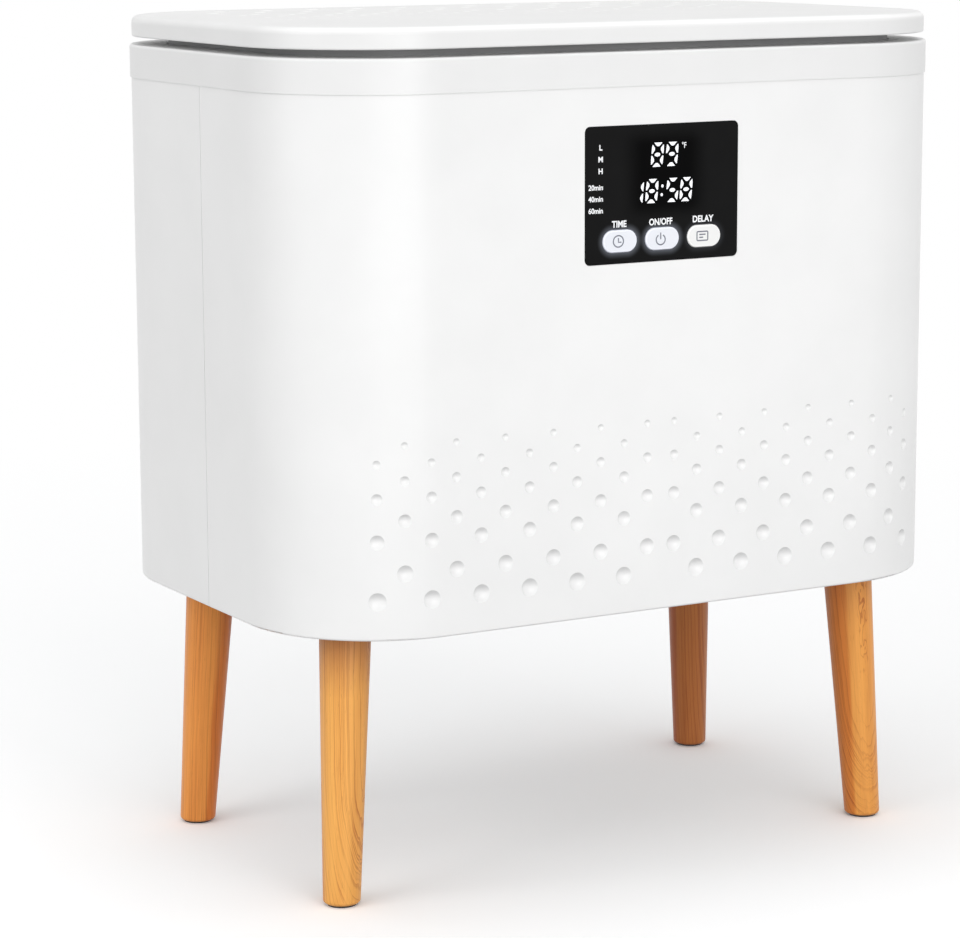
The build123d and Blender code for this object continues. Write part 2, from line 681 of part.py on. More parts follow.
def leg_inserts():
    inserts = []
    for signs in four_legs():
        top, direction = leg_axis(*signs)[1:]
        reach = 2 * LEG_BOSS_HEIGHT
        insert = along(top, direction, -INSERT_RADIUS, reach, INSERT_RADIUS)
        insert = insert - along(top, direction, -INSERT_RADIUS, reach, BOLT_RADIUS + GRIP)
        inserts.append(insert & between(BASE_UNDERSIDE, LEG_BOSS_TOP))
    return group(inserts)


def board_post_places():
    along_x = BOARD_LENGTH / 2 - BOARD_HOLE_INSET
    along_y = BOARD_WIDTH / 2 - BOARD_HOLE_INSET
    return [(BOARD_X + a * along_x, b * along_y) for a in BOTH for b in BOTH]


def vent_slots():
    """Two rows of slots through the base plate."""
    slots = []
    for side in BOTH:
        for index in range(SLOT_COUNT):
            x = (index - (SLOT_COUNT - 1) / 2) * SLOT_PITCH
            plan = Rot(0, 0, 90) * SlotOverall(SLOT_LENGTH, SLOT_WIDTH)
            slots.append(Pos(x, side * SLOT_ROW_Y, BASE_UNDERSIDE) * extrude(plan, amount=BASE_THICKNESS))
    return slots


def base_plate():
    plate = outline_block(COVER_WALL + SLIP, BASE_UNDERSIDE, BASE_TOP)
    rib_half = BODY_WIDTH / 2 - FOOT_INSET_X
    for side in BOTH:
        y = side * RIB_Y
        plate = plate + block((-rib_half, y - RIB_THICKNESS / 2, BASE_TOP),
                              (rib_half, y + RIB_THICKNESS / 2, BASE_TOP + RIB_HEIGHT))
    for signs in four_legs():
        top, direction = leg_axis(*signs)[1:]
        plate = plate + post(top.X, top.Y, LEG_BOSS_RADIUS, BASE_TOP, LEG_BOSS_TOP)
        plate = plate - along(top, direction, -INSERT_RADIUS, 2 * LEG_BOSS_HEIGHT, INSERT_RADIUS + GRIP)
    for x, y in board_post_places():
        plate = plate + post(x, y, BOARD_POST_RADIUS, BASE_TOP, BOARD_UNDERSIDE)
        plate = plate - post(x, y, SMALL_SCREW[0] + GRIP, BASE_TOP, BOARD_UNDERSIDE)
    for x, y in all_post_places():
        plate = plate - post(x, y, SCREW[0] + SLIP, BASE_UNDERSIDE, BASE_TOP)
    plate = plate - post(GLAND_X, GLAND_Y, GLAND_NECK + SLIP / 2, BASE_UNDERSIDE, BASE_TOP)
    return plate - vent_slots()


def base_screws():
    return group(Pos(x, y, BASE_UNDERSIDE) * screw(SCREW, SCREW_LENGTH) for x, y in all_post_places())


def cord_gland():
    """Collar that a mains cord passes through, nipping the base plate between two flanges."""
    x, y = GLAND_X, GLAND_Y
    low = BASE_UNDERSIDE - GLAND_FLANGE_THICKNESS
    high = BASE_TOP + GLAND_NUT_THICKNESS
    gland = post(x, y, GLAND_FLANGE, low, BASE_UNDERSIDE)
    gland = gland + post(x, y, GLAND_NECK, BASE_UNDERSIDE, BASE_TOP)
    gland = gland + post(x, y, GLAND_NUT, BASE_TOP, high)
    return gland - post(x, y, GLAND_BORE, low, high)


def power_board():
    board = block((BOARD_X - BOARD_LENGTH / 2, -BOARD_WIDTH / 2, BOARD_UNDERSIDE),
                  (BOARD_X + BOARD_LENGTH / 2, BOARD_WIDTH / 2, BOARD_TOP))
    for x, y in board_post_places():
        board = board - post(x, y, SMALL_SCREW[0] + SLIP, BOARD_UNDERSIDE, BOARD_TOP)
    return board


def power_board_screws():
    length = BOARD_THICKNESS + BOARD_POST_HEIGHT / 2
    return group(Pos(x, y, BOARD_TOP) * Rot(180, 0, 0) * screw(SMALL_SCREW, length)
                 for x, y in board_post_places())


def row_middles():
    """Middles along X of the terminal block, relay and transformer, from the board's right end."""
    middles = []
    edge = BOARD_X + BOARD_LENGTH / 2 - BOARD_EDGE_GAP
    for width in (TERMINAL_SIZE[0], RELAY_SIZE[0], TRANSFORMER_SIZE[0]):
        middles.append(edge - width / 2)
        edge -= width + COMPONENT_GAP
    return middles


def on_board(x, y_share, size):
    """Box that stands on the power board, at a share of the board's half width."""
    return Pos(x, y_share * BOARD_WIDTH / 2, BOARD_TOP) * Box(*size, align=LOW)


def power_relay():
    return on_board(row_middles()[1], RELAY_SHARE, RELAY_SIZE)


def power_transformer():
    """Core with a bobbin that shows on two sides."""
    x = row_middles()[2]
    bobbin = [share * size for share, size in zip(BOBBIN_SHARES, TRANSFORMER_SIZE)]
    return on_board(x, TRANSFORMER_SHARE, TRANSFORMER_SIZE) + on_board(x, TRANSFORMER_SHARE, bobbin)


def power_capacitors():
    y = CAPACITOR_SHARE * BOARD_WIDTH / 2
    return group(post(BOARD_X + index * CAPACITOR_PITCH, y, CAPACITOR_RADIUS,
                      BOARD_TOP, BOARD_TOP + CAPACITOR_HEIGHT) for index in (-1, 0, 1))


def terminal_block():
    """Three-way screw terminal at the board's right end."""
    width, length, height = TERMINAL_SIZE
    x = row_middles()[0]
    body = on_board(x, TERMINAL_SHARE, TERMINAL_SIZE)
    middle = body.center().Y
    for index in (-1, 0, 1):
        y = middle + index * length / 3
        body = body - post(x, y, width / 4, BOARD_TOP + height / 2, BOARD_TOP + height)
    return body


def panel_lens():
    """Black front plate with three capsule-shaped openings for the buttons."""
    lens = front_plate(PANEL_WIDTH, PANEL_HEIGHT, PANEL_CORNER - PANEL_CLEARANCE,
                       LENS_FRONT, LENS_BACK, 0, PANEL_MIDDLE)
    return lens - button_openings(SLIP, LENS_FRONT, LENS_BACK)


def button_openings(clearance, front, back):
    grow = 2 * clearance
    return [front_slot(BUTTON_WIDTH + grow, BUTTON_HEIGHT + grow, front, back,
                       index * BUTTON_PITCH, BUTTON_Z) for index in (-1, 0, 1)]


def control_post_places():
    half_x = PANEL_WIDTH / 2 - CONTROL_BOARD_MARGIN - CONTROL_HOLE_INSET
    half_z = PANEL_HEIGHT / 2 - CONTROL_BOARD_MARGIN - CONTROL_HOLE_INSET
    return [(a * half_x, PANEL_MIDDLE + b * half_z) for a in BOTH for b in BOTH]


def indicator_places():
    return [(LEVEL_LED_X, PANEL_TOP - drop) for drop in LEVEL_LED_DROPS]


def panel_frame():
    """Tray behind the lens, which carries the control board on four posts."""
    frame = front_plate(PANEL_WIDTH, PANEL_HEIGHT, PANEL_CORNER - PANEL_CLEARANCE,
                        LENS_BACK, FLANGE_FRONT, 0, PANEL_MIDDLE)
    flange = 2 * FRAME_FLANGE
    frame = frame + front_plate(PANEL_WIDTH + flange, PANEL_HEIGHT + flange, PANEL_CORNER + FRAME_FLANGE,
                                FLANGE_FRONT, FRAME_BACK, 0, PANEL_MIDDLE)
    for x, z in control_post_places():
        frame = frame + front_pin(x, z, CONTROL_POST_RADIUS, FRAME_BACK, CONTROL_FRONT)
        frame = frame - front_pin(x, z, SMALL_SCREW[0] + GRIP, FRAME_BACK, CONTROL_FRONT)
    frame = frame - front_plate(DISPLAY_WIDTH + 2 * SLIP, DISPLAY_HEIGHT + 2 * SLIP, BOARD_CORNER,
                                LENS_BACK, FRAME_BACK, 0, DISPLAY_Z)
    for x, z in indicator_places():
        frame = frame - front_pin(x, z, LED_RADIUS + SLIP, LENS_BACK, FRAME_BACK)
    return frame - button_openings(SLIP, LENS_BACK, FRAME_BACK)


def control_board():
    margin = 2 * CONTROL_BOARD_MARGIN
    board = front_plate(PANEL_WIDTH - margin, PANEL_HEIGHT - margin, BOARD_CORNER,
                        CONTROL_FRONT, CONTROL_BACK, 0, PANEL_MIDDLE)
    for x, z in control_post_places():
        board = board - front_pin(x, z, SMALL_SCREW[0] + SLIP, CONTROL_FRONT, CONTROL_BACK)
    return board


def control_board_screws():
    length = BOARD_THICKNESS + (CONTROL_FRONT - FRAME_BACK) / 2
    return group(Pos(x, CONTROL_BACK, z) * Rot(90, 0, 0) * screw(SMALL_SCREW, length)
                 for x, z in control_post_places())


def led_display():
    """Digit module that fills the tray's window and stands on the control board."""
    return front_plate(DISPLAY_WIDTH, DISPLAY_HEIGHT, BOARD_CORNER,
                       LENS_BACK + SLIP, CONTROL_FRONT, 0, DISPLAY_Z)


def indicator_leds():
    """Lamps behind the level and time marks, with their legs to the board."""
    leds = []
    for x, z in indicator_places():
        lamp = front_pin(x, z, LED_RADIUS, LENS_BACK + SLIP, LENS_BACK + SLIP + LED_LENGTH)
        stalk = front_pin(x, z, LED_RADIUS / 2, LENS_BACK + SLIP + LED_LENGTH, CONTROL_FRONT)
        leds.append(lamp + stalk)
    return group(leds)


def tact_switches():
    switches = []
    for index in (-1, 0, 1):
        x = index * BUTTON_PITCH
        body = front_plate(SWITCH_WIDTH, SWITCH_WIDTH, SWITCH_CORNER,
                           CONTROL_FRONT - SWITCH_BODY, CONTROL_FRONT, x, BUTTON_Z)
        tip = front_pin(x, BUTTON_Z, PLUNGER_RADIUS, PLUNGER_TIP, CONTROL_FRONT - SWITCH_BODY)
        switches.append(body + tip)
    return group(switches)


def button(index):
    """Capsule button with a flange that stops it behind the tray."""
    x = index * BUTTON_PITCH
    cap = front_slot(BUTTON_WIDTH, BUTTON_HEIGHT, BUTTON_FRONT, BUTTON_BACK, x, BUTTON_Z)
    cap = fillet(cap.edges().group_by(Axis.Y)[0], BUTTON_EDGE)
    grow = 2 * BUTTON_FLANGE
    front = FRAME_BACK + SLIP / 2
    flange = front_slot(BUTTON_WIDTH + grow, BUTTON_HEIGHT + grow, front,
                        front + BUTTON_FLANGE_THICKNESS, x, BUTTON_Z)
    return cap + flange


def ribbon_plug_places():
    """Middles of the plugs at the ribbon's upper and lower ends."""
    upper = PANEL_TOP - PANEL_HEIGHT + CONTROL_BOARD_MARGIN + 2 * PLUG_HEIGHT
    return (RIBBON_Y, upper), (PLUG_HEIGHT - BOARD_WIDTH / 2, BUCKET_UNDERSIDE - RIBBON_DROP)


def ribbon_cable():
    """Flat cable down behind the front cover and back to the power board."""
    (upper_y, upper_z), (lower_y, lower_z) = ribbon_plug_places()
    path = FilletPolyline((0, upper_y, upper_z), (0, upper_y, lower_z), (0, lower_y, lower_z),
                          radius=RIBBON_BEND)
    plan = Plane(origin=(0, upper_y, upper_z), z_dir=(0, 0, -1)) * Rectangle(RIBBON_WIDTH, RIBBON_THICKNESS)
    return sweep(plan, path=path)


def ribbon_plugs():
    """Plug on the control board's rear and plug on the power board."""
    (upper_y, upper_z), (lower_y, lower_z) = ribbon_plug_places()
    half = RIBBON_WIDTH / 2 + PLUG_MARGIN
    upper = block((-half, CONTROL_BACK, upper_z),
                  (half, CONTROL_BACK + PLUG_DEPTH, upper_z + PLUG_HEIGHT))
    lower = block((-half, lower_y, BOARD_TOP), (half, lower_y + PLUG_HEIGHT, lower_z + RIBBON_THICKNESS))
    return group([upper, lower])


def lid_screw_places():
    """Screws through the lid's base, outside the collar."""
    x = BODY_WIDTH / 2 - LID_SCREW_INSET
    y = BODY_DEPTH / 2 - LID_SCREW_INSET
    sides = [(a * x, b * POST_SIDE_Y) for a in BOTH for b in BOTH]
    return sides + [(a * POST_FRONT_X, b * y) for a in BOTH for b in BOTH]


def leaf_screw_places(sign):
    x = sign * HINGE_SPACING / 2
    y = BODY_DEPTH / 2 - LID_SCREW_INSET
    return [(x + side * (HINGE_HALF - LID_BOSS_RADIUS), y) for side in BOTH]


def all_lid_screw_places():
    return lid_screw_places() + [place for sign in BOTH for place in leaf_screw_places(sign)]


def hinge_notch(sign):
    """Room in the lid for one hinge, open to the rear and below."""
    x = sign * HINGE_SPACING / 2
    half = HINGE_HALF + PIN_HEAD_THICKNESS + NOTCH_CLEARANCE
    return block((x - half, HINGE_Y - EAR_RADIUS - NOTCH_CLEARANCE, LID_BOTTOM),
                 (x + half, BODY_DEPTH / 2, LID_SKIN_UNDERSIDE))


def lid_shell():
    outside = outline_block(LID_OUTSIDE, LID_BOTTOM, LID_TOP)
    outside = fillet(outside.edges().group_by(Axis.Z)[-1], LID_TOP_EDGE)
    outside = fillet(outside.edges().group_by(Axis.Z)[0], LID_BOTTOM_EDGE)
    shell = outside - outline_block(LID_OUTSIDE + LID_WALL, LID_BOTTOM, LID_SKIN_UNDERSIDE)
    leaf_top = LEAF_BOTTOM + LEAF_THICKNESS
    for x, y in lid_screw_places():
        shell = shell + post(x, y, LID_BOSS_RADIUS, LID_BASE_TOP, LID_SKIN_UNDERSIDE)
    for sign in BOTH:
        for x, y in leaf_screw_places(sign):
            shell = shell + post(x, y, LID_BOSS_RADIUS, leaf_top, LID_SKIN_UNDERSIDE)
    for x, y in all_lid_screw_places():
        shell = shell - post(x, y, SMALL_SCREW[0] + GRIP, LID_BASE_TOP, LID_SKIN_UNDERSIDE)
    shell = shell - hinge_notch(-1) - hinge_notch(1)
    return shell - lid_dimples()


def lid_base():
    """White plate that closes the lid from below."""
    plate = outline_block(LID_BASE_OUTSIDE, LID_BASE_UNDERSIDE, LID_BASE_TOP)
    for x, y in all_lid_screw_places():
        plate = plate - post(x, y, SMALL_SCREW[0] + SLIP, LID_BASE_UNDERSIDE, LID_BASE_TOP)
    for x, y in collar_screw_places():
        plate = plate - post(x, y, SMALL_SCREW[0] + SLIP, LID_BASE_UNDERSIDE, LID_BASE_TOP)
    return plate - hinge_notch(-1) - hinge_notch(1)


def lid_base_screws():
    return group(Pos(x, y, LID_BASE_UNDERSIDE) * screw(SMALL_SCREW, LID_SCREW_LENGTH)
                 for x, y in all_lid_screw_places())


def collar_screw_places():
    inset = COLLAR_OUTSIDE + COLLAR_BOSS_INSET
    x = BODY_WIDTH / 2 - inset
    y = BODY_DEPTH / 2 - inset
    return [(a * x, 0) for a in BOTH] + [(a * POST_FRONT_X, b * y) for a in BOTH for b in BOTH]


def lid_collar():
    """Dark tray under the lid that plugs the rim's mouth."""
    tray = outline_block(COLLAR_OUTSIDE, COLLAR_BOTTOM, LID_BASE_UNDERSIDE)
    hollow = outline_block(COLLAR_OUTSIDE + COLLAR_WALL, COLLAR_BOTTOM + COLLAR_FLOOR, LID_BASE_UNDERSIDE)
    tray = tray - hollow
    for x, y in collar_screw_places():
        tray = tray + post(x, y, COLLAR_BOSS_RADIUS, COLLAR_BOTTOM, LID_BASE_UNDERSIDE)
        tray = tray - post(x, y, SMALL_SCREW[0] + GRIP, COLLAR_BOTTOM + COLLAR_FLOOR, LID_BASE_UNDERSIDE)
    return tray


def collar_screws():
    return group(Pos(x, y, LID_BASE_TOP) * Rot(180, 0, 0) * screw(SMALL_SCREW, COLLAR_SCREW_LENGTH)
                 for x, y in collar_screw_places())


def lid_insulation():
    """Foam that fills the collar's tray."""
    inset = COLLAR_OUTSIDE + COLLAR_WALL + SLIP
    foam = outline_block(inset, COLLAR_BOTTOM + COLLAR_FLOOR, LID_BASE_UNDERSIDE - FOAM_GAP)
    for x, y in collar_screw_places():
        foam = foam - post(x, y, COLLAR_BOSS_RADIUS + SLIP, COLLAR_BOTTOM, LID_BASE_UNDERSIDE)
    return foam


def lid_gasket():
    return outline_ring(GASKET_OUTSIDE, GASKET_OUTSIDE + GASKET_WIDTH, GASKET_BOTTOM, COLLAR_BOTTOM)


def cross_pin(sign, radius, start, end):
    """Cylinder on the hinge's axis, between two distances from the hinge's middle."""
    x = sign * HINGE_SPACING / 2
    return Pos(x + start, HINGE_Y, HINGE_Z) * Rot(0, 90, 0) * Cylinder(radius, end - start, align=LOW)


def hinge_bracket(sign):
    """Foot let into the rim, with an ear that carries the hinge pin."""
    x = sign * HINGE_SPACING / 2
    foot = RIM_TOP - BRACKET_THICKNESS
    bracket = bracket_block(sign, foot, RIM_TOP)
    bracket = bracket + block((x - EAR_WIDTH / 2, HINGE_Y - EAR_RADIUS, foot),
                              (x + EAR_WIDTH / 2, HINGE_Y + EAR_RADIUS, HINGE_Z))
    bracket = bracket + cross_pin(sign, EAR_RADIUS, -EAR_WIDTH / 2, EAR_WIDTH / 2)
    for hole_x, y in bracket_screw_places(sign):
        bracket = bracket - post(hole_x, y, SMALL_SCREW[0] + SLIP, foot, RIM_TOP)
    return bracket - cross_pin(sign, PIN_RADIUS + RUNNING, -EAR_WIDTH / 2, EAR_WIDTH / 2)


def hinge_bracket_screws():
    return group(Pos(x, y, RIM_TOP) * Rot(180, 0, 0) * screw(SMALL_SCREW, LEDGE_DEPTH - BRACKET_SCREW_RISE)
                 for sign in BOTH for x, y in bracket_screw_places(sign))


def hinge_leaf(sign):
    """Plate under the lid's skin with two knuckles that grip the hinge pin."""
    x = sign * HINGE_SPACING / 2
    front = HINGE_Y - LEAF_LENGTH
    top = LEAF_BOTTOM + LEAF_THICKNESS
    inner = EAR_WIDTH / 2 + SLIP
    leaf = block((x - HINGE_HALF, front, LEAF_BOTTOM), (x + HINGE_HALF, HINGE_Y - EAR_RADIUS - SLIP, top))
    for side in BOTH:
        near, far = sorted((side * inner, side * HINGE_HALF))
        leaf = leaf + block((x + near, front, LEAF_BOTTOM), (x + far, HINGE_Y, top))
        leaf = leaf + cross_pin(sign, EAR_RADIUS, near, far)
        leaf = leaf - cross_pin(sign, PIN_RADIUS + GRIP, near, far)
    for hole_x, y in leaf_screw_places(sign):
        leaf = leaf - post(hole_x, y, SMALL_SCREW[0] + SLIP, LEAF_BOTTOM, top)
    return leaf


def hinge_pin(sign):
    """Pin with a small head at each end."""
    pin = cross_pin(sign, PIN_RADIUS, -HINGE_HALF, HINGE_HALF)
    pin = pin + cross_pin(sign, PIN_HEAD_RADIUS, -HINGE_HALF - PIN_HEAD_THICKNESS, -HINGE_HALF)
    return pin + cross_pin(sign, PIN_HEAD_RADIUS, HINGE_HALF, HINGE_HALF + PIN_HEAD_THICKNESS)


def leg_pieces():
    names = {(-1, -1): "leg_front_left", (1, -1): "leg_front_right",
             (-1, 1): "leg_rear_left", (1, 1): "leg_rear_right"}
    return {name: leg(*signs) for signs, name in names.items()}


def hinge_pieces():
    pieces = {}
    for sign, side in ((-1, "left"), (1, "right")):
        pieces["hinge_bracket_" + side] = hinge_bracket(sign)
        pieces["hinge_leaf_" + side] = hinge_leaf(sign)
        pieces["hinge_pin_" + side] = hinge_pin(sign)
    return pieces


def button_pieces():
    return {"time_button": button(-1), "power_button": button(0), "delay_button": button(1)}


SINGLE_PIECES = (
    front_cover, rear_cover, rim_ring, rim_screws, inner_bucket, heater_band, heater_pad,
    insulation_sleeve, insulation_pad, retainer_plate, retainer_nuts, thermal_cutout,
    temperature_probe, base_plate, base_screws, foot_pads, hanger_bolts, leg_inserts, cord_gland,
    power_board, power_board_screws, power_relay, power_transformer, power_capacitors,
    terminal_block, panel_lens, panel_frame, control_board, control_board_screws, led_display,
    indicator_leds, tact_switches, ribbon_cable, ribbon_plugs, lid_shell, lid_base,
    lid_base_screws, lid_collar, collar_screws, lid_insulation, lid_gasket, hinge_bracket_screws,
)


def main():
    pieces = {make.__name__: make() for make in SINGLE_PIECES}
    pieces.update(leg_pieces())
    pieces.update(hinge_pieces())
    pieces.update(button_pieces())
    os.makedirs("parts", exist_ok=True)
    for name, shape in pieces.items():
        solids = shape.solids()
        export_step(solids[0] if len(solids) == 1 else Compound(solids), f"parts/{name}.step")


main()
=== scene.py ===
import json
import math

import bmesh
import bpy
from mathutils import Matrix, Vector


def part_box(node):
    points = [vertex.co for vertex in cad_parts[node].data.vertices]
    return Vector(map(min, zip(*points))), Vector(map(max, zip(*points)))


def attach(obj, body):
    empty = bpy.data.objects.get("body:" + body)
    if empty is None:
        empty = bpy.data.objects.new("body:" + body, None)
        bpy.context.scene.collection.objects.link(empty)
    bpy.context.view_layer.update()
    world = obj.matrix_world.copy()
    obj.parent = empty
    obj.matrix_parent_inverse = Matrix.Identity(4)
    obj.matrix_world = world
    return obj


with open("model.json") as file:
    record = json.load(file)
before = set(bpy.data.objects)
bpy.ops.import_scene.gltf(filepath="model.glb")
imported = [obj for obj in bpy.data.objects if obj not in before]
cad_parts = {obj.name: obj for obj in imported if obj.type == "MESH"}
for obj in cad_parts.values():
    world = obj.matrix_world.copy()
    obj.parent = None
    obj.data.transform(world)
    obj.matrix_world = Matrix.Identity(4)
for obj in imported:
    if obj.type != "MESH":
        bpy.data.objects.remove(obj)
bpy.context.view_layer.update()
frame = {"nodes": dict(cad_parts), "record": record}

# Towel warmer bucket: materials, the marks and lit digits of the control panel, the stage,
# the lights and the camera. Metres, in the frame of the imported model. Places on the panel are
# written in millimetres: X from its middle, and the drop below its top edge.

MM = 0.001
NODES = frame["nodes"]
SLOT_OF = {part["node"]: part["material_slot"] for part in frame["record"]["subparts"]}


# ---------------------------------------------------------------- camera

IMAGE_WIDTH = 960
FOCAL = 3235.2              # in pixels of an image of that width
SENSOR = 36.0               # millimetres
PITCH = 0.1769              # radians that the camera looks down
YAW = 0.5138                # radians that it is turned from +Y towards +X
ROLL = -0.004
AIM = Vector((0, 0, 0.240))
AIM_SHIFT = (-0.027613, -0.040838)      # of the line of sight, to the camera's right and up
DISTANCE = 1.77675
CLIP_START = 0.05
CLIP_END = 200


def make_camera():
    """Camera that looks from the left of the front, and a little down."""
    ahead = Vector((math.sin(YAW) * math.cos(PITCH), math.cos(YAW) * math.cos(PITCH), -math.sin(PITCH)))
    level = Vector((math.cos(YAW), -math.sin(YAW), 0))
    above = level.cross(ahead)
    right = level * math.cos(ROLL) + above * math.sin(ROLL)
    up = above * math.cos(ROLL) - level * math.sin(ROLL)
    place = AIM - ahead * DISTANCE + level * AIM_SHIFT[0] + above * AIM_SHIFT[1]
    data = bpy.data.cameras.new("camera")
    data.sensor_width = SENSOR
    data.lens = FOCAL / IMAGE_WIDTH * SENSOR
    data.clip_start = CLIP_START
    data.clip_end = CLIP_END
    camera = bpy.data.objects.new("camera", data)
    turn = Matrix((right, up, -ahead)).transposed()
    camera.matrix_world = Matrix.Translation(place) @ turn.to_4x4()
    bpy.context.scene.collection.objects.link(camera)
    bpy.context.scene.camera = camera


# ---------------------------------------------------------------- node materials

ACROSS, DEEP, UP = 0, 1, 2      # outputs of a Separate XYZ node
NOISE_RANGE = (0.3, 0.7)        # where nearly all of a noise's values lie


class Look:
    """A procedural material: its shader, and short ways to add and join nodes."""

    def __init__(self, name, **values):
        self.material = bpy.data.materials.new(name)
        self.material.use_nodes = True
        self.tree = self.material.node_tree
        self.tree.nodes.clear()
        output = self.tree.nodes.new("ShaderNodeOutputMaterial")
        self.shader = self.tree.nodes.new("ShaderNodeBsdfPrincipled")
        self.tree.links.new(self.shader.outputs[0], output.inputs["Surface"])
        self.place = self.node("TexCoord", out="Object")
        self.set(**values)

    def set(self, **values):
        """Sets shader inputs, with _ for a space in the name."""
        for name, value in values.items():
            self.feed(self.shader.inputs[name.replace("_", " ")], value)

    def feed(self, socket, value):
        if isinstance(value, bpy.types.NodeSocket):
            self.tree.links.new(value, socket)
        elif isinstance(value, (tuple, list)) and socket.type == "RGBA" and len(value) == 3:
            socket.default_value = (*value, 1.0)
        else:
            socket.default_value = value

    def node(self, kind, inputs=None, out=0, **settings):
        """Adds a node and returns one of its outputs."""
        node = self.tree.nodes.new("ShaderNode" + kind)
        for name, value in settings.items():
            setattr(node, name, value)
        for key, value in (inputs or {}).items():
            self.feed(node.inputs[key], value)
        return node.outputs[out]

    def math(self, operation, a, b=0.0):
        return self.node("Math", {0: a, 1: b, 2: 0.0}, operation=operation)

    def times(self, a, b):
        return self.math("MULTIPLY", a, b)

    def plus(self, a, b):
        return self.math("ADD", a, b)

    def vector(self, operation, a, b, out=0):
        return self.node("VectorMath", {0: a, 1: b}, out=out, operation=operation)

    def axis(self, which, vector=None):
        """One part of a vector, or of the place on the object."""
        return self.node("SeparateXYZ", {0: vector or self.place}, out=which)

    def scaled(self, x, y, z, place=None):
        """Object coordinates multiplied by a factor along each axis, per metre."""
        return self.vector("MULTIPLY", place or self.place, (x, y, z))

    def noise(self, scale, detail=2.0, place=None, roughness=0.5):
        return self.node("TexNoise", {"Vector": place or self.place, "Scale": scale,
                                      "Detail": detail, "Roughness": roughness})

    def grained(self, x, y, z, place=None, detail=2.0, roughness=0.5):
        """Noise stretched by a factor along each axis, per metre."""
        return self.noise(1, detail, self.scaled(x, y, z, place), roughness)

    def patchy(self, scale, detail=2.0, low=0.0, high=1.0):
        """Value that wanders between two results."""
        return self.span(self.noise(scale, detail), *NOISE_RANGE, low, high)

    def span(self, value, low, high, to_low=0.0, to_high=1.0, smooth=False):
        """Runs between two results as the value runs from low to high, and stays there beyond."""
        kind = "SMOOTHSTEP" if smooth else "LINEAR"
        return self.node("MapRange", {"Value": value, "From Min": low, "From Max": high,
                                      "To Min": to_low, "To Max": to_high}, interpolation_type=kind)

    def between(self, value, rise, fall):
        """1 between two places and 0 beyond; rise and fall are the ends of each change."""
        return self.times(self.span(value, *rise), self.span(value, *fall, 1.0, 0.0))

    def mix(self, share, a, b):
        return self.node("Mix", {0: share, 6: a, 7: b}, out=2, data_type="RGBA")

    def bump(self, height, depth, normal=None):
        """Raises the surface by a height of 0 to 1 times a depth in metres."""
        inputs = {"Height": height, "Distance": depth, "Strength": 1.0}
        if normal is not None:
            inputs["Normal"] = normal
        return self.node("Bump", inputs)


def shade(colour, factor):
    """Colour made darker or brighter by a factor."""
    return tuple(min(1.0, channel * factor) for channel in colour)


def plastic(name, colour, roughness, grain=0.5 * MM, depth=0.004 * MM, mottle=0.015):
    """Moulded plastic: faint cloudiness, a fine grain and a sheen that varies a little."""
    look = Look(name)
    cloud = look.patchy(22, 3)
    look.set(Base_Color=look.mix(cloud, shade(colour, 1 - mottle), shade(colour, 1 + mottle)))
    look.set(Roughness=look.patchy(160, 3, roughness - 0.03, roughness + 0.03))
    look.set(Normal=look.bump(look.noise(1 / grain, 2), depth))
    return look


SHELL_ROUGHNESS = 0.34
SHADED_SLOPE = (-0.45, -0.02)   # the normal's part along the chosen axis, from full shade to none
LIT_SLOPE = (0.05, 0.5)         # and from no extra light to all of it


def dimpled_with_painted_shade(name, colour, facing, away, near, rise, fall):
    """Moulded plastic with painted shade and painted light in its dimples, set by how the normal turns.

    facing is UP for walls, where a dimple's upper part faces down, and DEEP for a top, where its
    front part faces back. away is what is left of the colour where the surface faces away from
    the light, and near where it faces the light; both are painted light and shade. The change
    comes in over the heights of rise and goes out over those of fall.
    """
    look = plastic(name, colour, SHELL_ROUGHNESS)
    base = look.shader.inputs["Base Color"].links[0].from_socket
    normal = look.node("TexCoord", out="Normal")
    slope = look.times(look.axis(facing, normal), 1 if facing == UP else -1)
    # painted shade where the normal turns from the light, painted light where it turns towards it
    lit = look.times(look.span(slope, *SHADED_SLOPE, away, 1.0), look.span(slope, *LIT_SLOPE, 1.0, near))
    inside = look.between(look.axis(UP), rise, fall)
    share = look.plus(1.0, look.times(inside, look.math("SUBTRACT", lit, 1.0)))
    tint = look.node("CombineXYZ", {0: share, 1: share, 2: share})
    look.set(Base_Color=look.vector("MULTIPLY", base, tint))
    return look


def brushed(name, colour, roughness, stretch, depth=0.003 * MM, variation=0.08):
    """Metal with brush lines; stretch is the noise's scale along each axis."""
    look = Look(name, Metallic=1.0)
    lines = look.grained(*stretch, detail=4, roughness=0.65)
    smear = look.noise(35, 3)
    tone = look.plus(look.times(lines, 0.7), look.times(smear, 0.3))
    share = look.span(tone, *NOISE_RANGE)
    look.set(Base_Color=look.mix(share, shade(colour, 1 - variation), shade(colour, 1 + variation)))
    look.set(Roughness=look.span(tone, *NOISE_RANGE, roughness - 0.06, roughness + 0.06))
    look.set(Normal=look.bump(lines, depth))
    return look


def rubber(name, colour):
    """Dull rubber with a coarse grain."""
    return plastic(name, colour, 0.72, grain=0.35 * MM, depth=0.02 * MM, mottle=0.12)


def felt(name, colour):
    """Needled felt: matted fibres, painted darker in the hollows of its bump as painted shade."""
    look = Look(name, Sheen_Weight=0.35, Sheen_Roughness=0.6)
    fibres = look.grained(900, 2300, 1500, detail=5, roughness=0.7)
    lumps = look.noise(260, 4)
    tone = look.plus(look.times(fibres, 0.6), look.times(lumps, 0.4))
    look.set(Base_Color=look.mix(look.span(tone, 0.35, 0.65), shade(colour, 0.8), shade(colour, 1.05)))
    look.set(Roughness=look.span(fibres, *NOISE_RANGE, 0.85, 1.0))
    look.set(Normal=look.bump(tone, 0.35 * MM))
    return look


